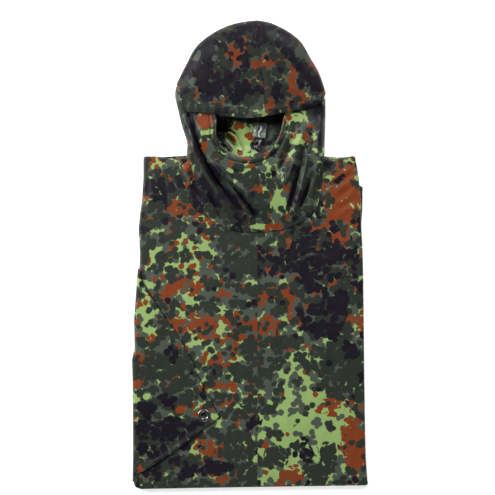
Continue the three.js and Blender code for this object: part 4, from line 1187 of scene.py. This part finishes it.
def labelMaterial(name, shade, roughness, grain, wrinkle):
    shader = Shader(name)
    printed = shader.node("ShaderNodeUVMap", {"uv_map": "print"}).outputs[0]
    parted = shader.node("ShaderNodeSeparateXYZ", None, {0: printed})
    ribs = (shader.number(parted, 1) * 9000.0).sine() * 0.5 + 0.5
    worn = shader.noise(printed, 130.0, 2.0)
    tint = ribs * grain + worn * 0.3 + (0.85 - grain / 2)
    bright = shader.node("ShaderNodeVectorMath", {"operation": "SCALE"}, {0: shade[:3], "Scale": tint})
    return shader.finish({
        "Base Color": bright.outputs[0],
        "Roughness": worn * 0.15 + (roughness - 0.07),
        "Specular IOR Level": 0.8,
    }, (ribs * 0.00004 + worn * wrinkle, 1.0))


def flatLabel(name, node, label, material, curl):
    cells = 40
    i, j = np.meshgrid(np.arange(cells + 1), np.arange(cells + 1), indexing="ij")
    across, along = label["width"] * (j / cells - 0.5), label["length"] * (i / cells - 0.5)
    x = label["x"] + across * math.cos(label["turn"]) - along * math.sin(label["turn"])
    y = label["y"] + across * math.sin(label["turn"]) + along * math.cos(label["turn"])
    crumpled = np.sin(across * 0.5 - along * 0.2 + 4.5 * unevenness(across, along, 10, 61))
    wavy = 0.9 * (1 + crumpled) * ramp(i / cells, 1, 0.7)
    lifted = curl * ramp(i / cells, 0.35, 0) + wavy
    points = np.dstack([x, y, backHeight(x, y) + label["lift"] + label["thickness"] + lifted])
    flat = np.dstack([across, along])
    made = makeCloth(name, points, flat, np.zeros((*x.shape, 4)), label["thickness"])
    made.data.materials.append(material)
    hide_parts(node)
    return made, points


paleLabel = labelMaterial("pale_label", colour(124, 132, 122), 0.13, 0.10, 0.0030)
blackLabel = labelMaterial("black_label", colour(20, 20, 22), 0.24, 0.35, 0.0030)
care, carePoints = flatLabel("careLabel", "care_label", careLabel, paleLabel, 1.4)
tab, tabPoints = flatLabel("neckLabel", "neck_label", tabLabel, blackLabel, 0.8)
print("labels made")


# Eyelet
def eyeletRing():
    over = wall + restGap
    flange, hole, barrel, crest = eyelet["flange"], eyelet["hole"], eyelet["barrel"], eyelet["crest"]
    foot = -restGap - eyelet["foot"]
    profile = [(hole, foot), (flange - 1.2, foot), (flange - 1, foot + 0.3),
               (flange - 1, -restGap), (barrel, -restGap), (barrel, over)]
    for k in range(15):
        turn = math.pi * k / 14
        middle, reach = (flange + hole) / 2, (flange - hole) / 2
        profile.append((middle + reach * math.cos(turn), over + crest * math.sin(turn) ** 0.7))
    steps = 72
    angles = np.arange(steps) * 2 * math.pi / steps
    profile = np.array(profile)
    centre = np.array([eyelet["x"], eyelet["y"], flapLevel - wall])
    places = np.stack([
        profile[:, 0][:, None] * np.cos(angles), profile[:, 0][:, None] * np.sin(angles),
        np.broadcast_to(profile[:, 1][:, None], (len(profile), steps)),
    ], -1) + centre
    number = np.arange(len(profile) * steps).reshape(len(profile), steps)
    after = np.roll(number, -1, 0)
    faces = np.stack([number, np.roll(number, -1, 1), np.roll(after, -1, 1), after], -1).reshape(-1, 4)
    made = makeMesh("eyeletRing", places.reshape(-1, 3), faces)
    shader = Shader("blackened_nickel")
    place = shader.node("ShaderNodeTexCoord").outputs["Object"]
    worn = shader.noise(place, 900.0, 4.0)
    shade = shader.mixed((worn * 2.2 - 0.7).limited(), (0.16, 0.16, 0.165, 1), (0.56, 0.55, 0.55, 1))
    made.data.materials.append(shader.finish({
        "Base Color": shade, "Metallic": 1.0, "Roughness": worn * 0.2 + 0.18,
    }, (worn * 0.0001, 1.0)))
    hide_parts("eyelet")
    return made


flapLevel = float(frontHeight(eyelet["x"], eyelet["y"]) + eyelet["lift"] + wall)
ring = eyeletRing()


# Stitches: short thread lengths that lie along a line on a cloth's surface.
def threadMaterial():
    shader = Shader("thread")
    place = shader.node("ShaderNodeTexCoord").outputs["Object"]
    fuzz = shader.noise(place, 2600.0, 3.0)
    shade = shader.mixed(fuzz, colour(34, 38, 30), colour(66, 70, 56))
    return shader.finish({"Base Color": shade, "Roughness": fuzz * 0.2 + 0.6}, (fuzz * 0.0001, 1.0))


stitch = {"pitch": 3.6, "length": 2.6, "thick": 0.34}

# Rings along a stitch: share of its length, share of its thickness across, and share of its rise.
stitchRings = [(0, 0.35, 0.0), (0.18, 0.9, 0.8), (0.5, 1, 1), (0.82, 0.9, 0.8), (1, 0.35, 0.0)]


def stitchRow(name, line, normals):
    pitch, length, thick = stitch["pitch"], stitch["length"], stitch["thick"]
    steps = np.linalg.norm(line[1:] - line[:-1], axis=1)
    reached = np.concatenate([[0], np.cumsum(steps)])
    count = int(reached[-1] // pitch)
    places, faces = [], []
    for k in range(count):
        ends = np.array([k * pitch + (pitch - length) / 2, k * pitch + (pitch + length) / 2])
        ends = ends + (reached[-1] - count * pitch) / 2
        spots = [np.array([np.interp(e, reached, line[:, a]) for a in range(3)]) for e in ends]
        up = unit(np.array([np.interp(ends.mean(), reached, normals[:, a]) for a in range(3)]))
        along = unit(spots[1] - spots[0])
        aside = np.cross(up, along)
        base = len(places)
        for t, wide, high in stitchRings:
            middle = lerp(spots[0], spots[1], t) + up * (high * thick * 0.5)
            for turn in range(6):
                angle = turn * math.pi / 3
                sideShift = aside * (math.cos(angle) * thick * wide)
                places.append(middle + sideShift + up * (math.sin(angle) * thick * wide * 0.7))
        for step in range(4):
            for turn in range(6):
                a, b = base + step * 6 + turn, base + step * 6 + (turn + 1) % 6
                faces.append((a, b, b + 6, a + 6))
    made = makeMesh(name, np.array(places), np.array(faces))
    made.data.materials.append(thread)
    return made


thread = threadMaterial()


def stitchAlong(name, points, path):
    normals = normalsOf(points)
    line = np.array([points[i, j] for i, j in path])
    way = np.array([normals[i, j] for i, j in path])
    return stitchRow(name, line, way)


flapRows = flapPoints.shape[0]
flapStitches = stitchAlong("flapStitches", flapPoints, [(i, 8 + 45) for i in range(8, flapRows - 20)])
brimStitchesLeft = stitchAlong("brimStitchesLeft", crownLeftPoints, [(3, j) for j in range(2, 65)])
brimStitchesRight = stitchAlong("brimStitchesRight", crownRightPoints, [(3, j) for j in range(2, 57)])
crownSeamLeft = stitchAlong("crownSeamLeft", crownLeftPoints, [(i, 64) for i in range(5, 44)])
crownSeamRight = stitchAlong("crownSeamRight", crownRightPoints, [(i, 2) for i in range(5, 44)])
throatStitches = stitchAlong("throatStitches", throatPoints, [(4, j) for j in range(1, 240)])
tunnelStitches = stitchAlong("tunnelStitches", tunnelPoints, [(0, j) for j in range(1, 144)])
print("stitches made")


# Floor, light and camera
def floorPlane():
    mesh = bpy.data.meshes.new("floor")
    reach = 40.0
    corners = [(-reach, -reach, 0), (reach, -reach, 0), (reach, reach, 0), (-reach, reach, 0)]
    mesh.from_pydata(corners, [], [(0, 1, 2, 3)])
    made = bpy.data.objects.new("floor", mesh)
    made.location.z = -0.0002
    bpy.context.scene.collection.objects.link(made)
    shader = Shader("floor")
    mesh.materials.append(shader.finish({
        "Base Color": (0.93, 0.93, 0.93, 1), "Roughness": 0.9, "Specular IOR Level": 0.1,
        "Emission Color": (1, 1, 1, 1), "Emission Strength": 0.66,
    }))
    made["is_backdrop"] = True


def areaLight(name, place, aim, size, power):
    data = bpy.data.lights.new(name, "AREA")
    data.shape = "RECTANGLE"
    data.size, data.size_y = size
    data.energy = power
    made = bpy.data.objects.new(name, data)
    made.location = place
    made.rotation_euler = (Vector(aim) - Vector(place)).to_track_quat("-Z", "Y").to_euler()
    bpy.context.scene.collection.objects.link(made)


def studio():
    floorPlane()
    areaLight("keyLight", (-2.7, 1.3, 2.0), (0, 0.0, 0), (0.9, 0.9), 127)
    areaLight("topLight", (1.4, 2.7, 2.2), (0, 0.0, 0), (1.2, 0.9), 74)
    areaLight("lowLight", (0.5, -2.9, 2.2), (0, 0.0, 0), (1.4, 0.9), 10)
    world = bpy.data.worlds.new("studio")
    world.use_nodes = True
    tree = world.node_tree
    parted = tree.nodes.new("ShaderNodeSeparateXYZ")
    plug(tree, parted.inputs[0], tree.nodes.new("ShaderNodeTexCoord").outputs["Generated"])
    upward = Number(tree, parted.outputs[2])
    plug(tree, tree.nodes["Background"].inputs[0], (1, 1, 1, 1))
    plug(tree, tree.nodes["Background"].inputs[1], 0.75 - ((upward - 0.1) / 0.3).limited() * 0.7)
    bpy.context.scene.world = world
    bpy.context.scene.view_settings.view_transform = "Standard"
    data = bpy.data.cameras.new("camera")
    data.sensor_width = 36
    data.lens = 108.5
    camera = bpy.data.objects.new("camera", data)
    camera.location = (-0.005, 0.012, 3.0)
    bpy.context.scene.collection.objects.link(camera)
    bpy.context.scene.camera = camera


studio()

low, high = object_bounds()
{"cad": [list(cadLow), list(cadHigh)], "made": [list(low), list(high)]}
print("scene ready")
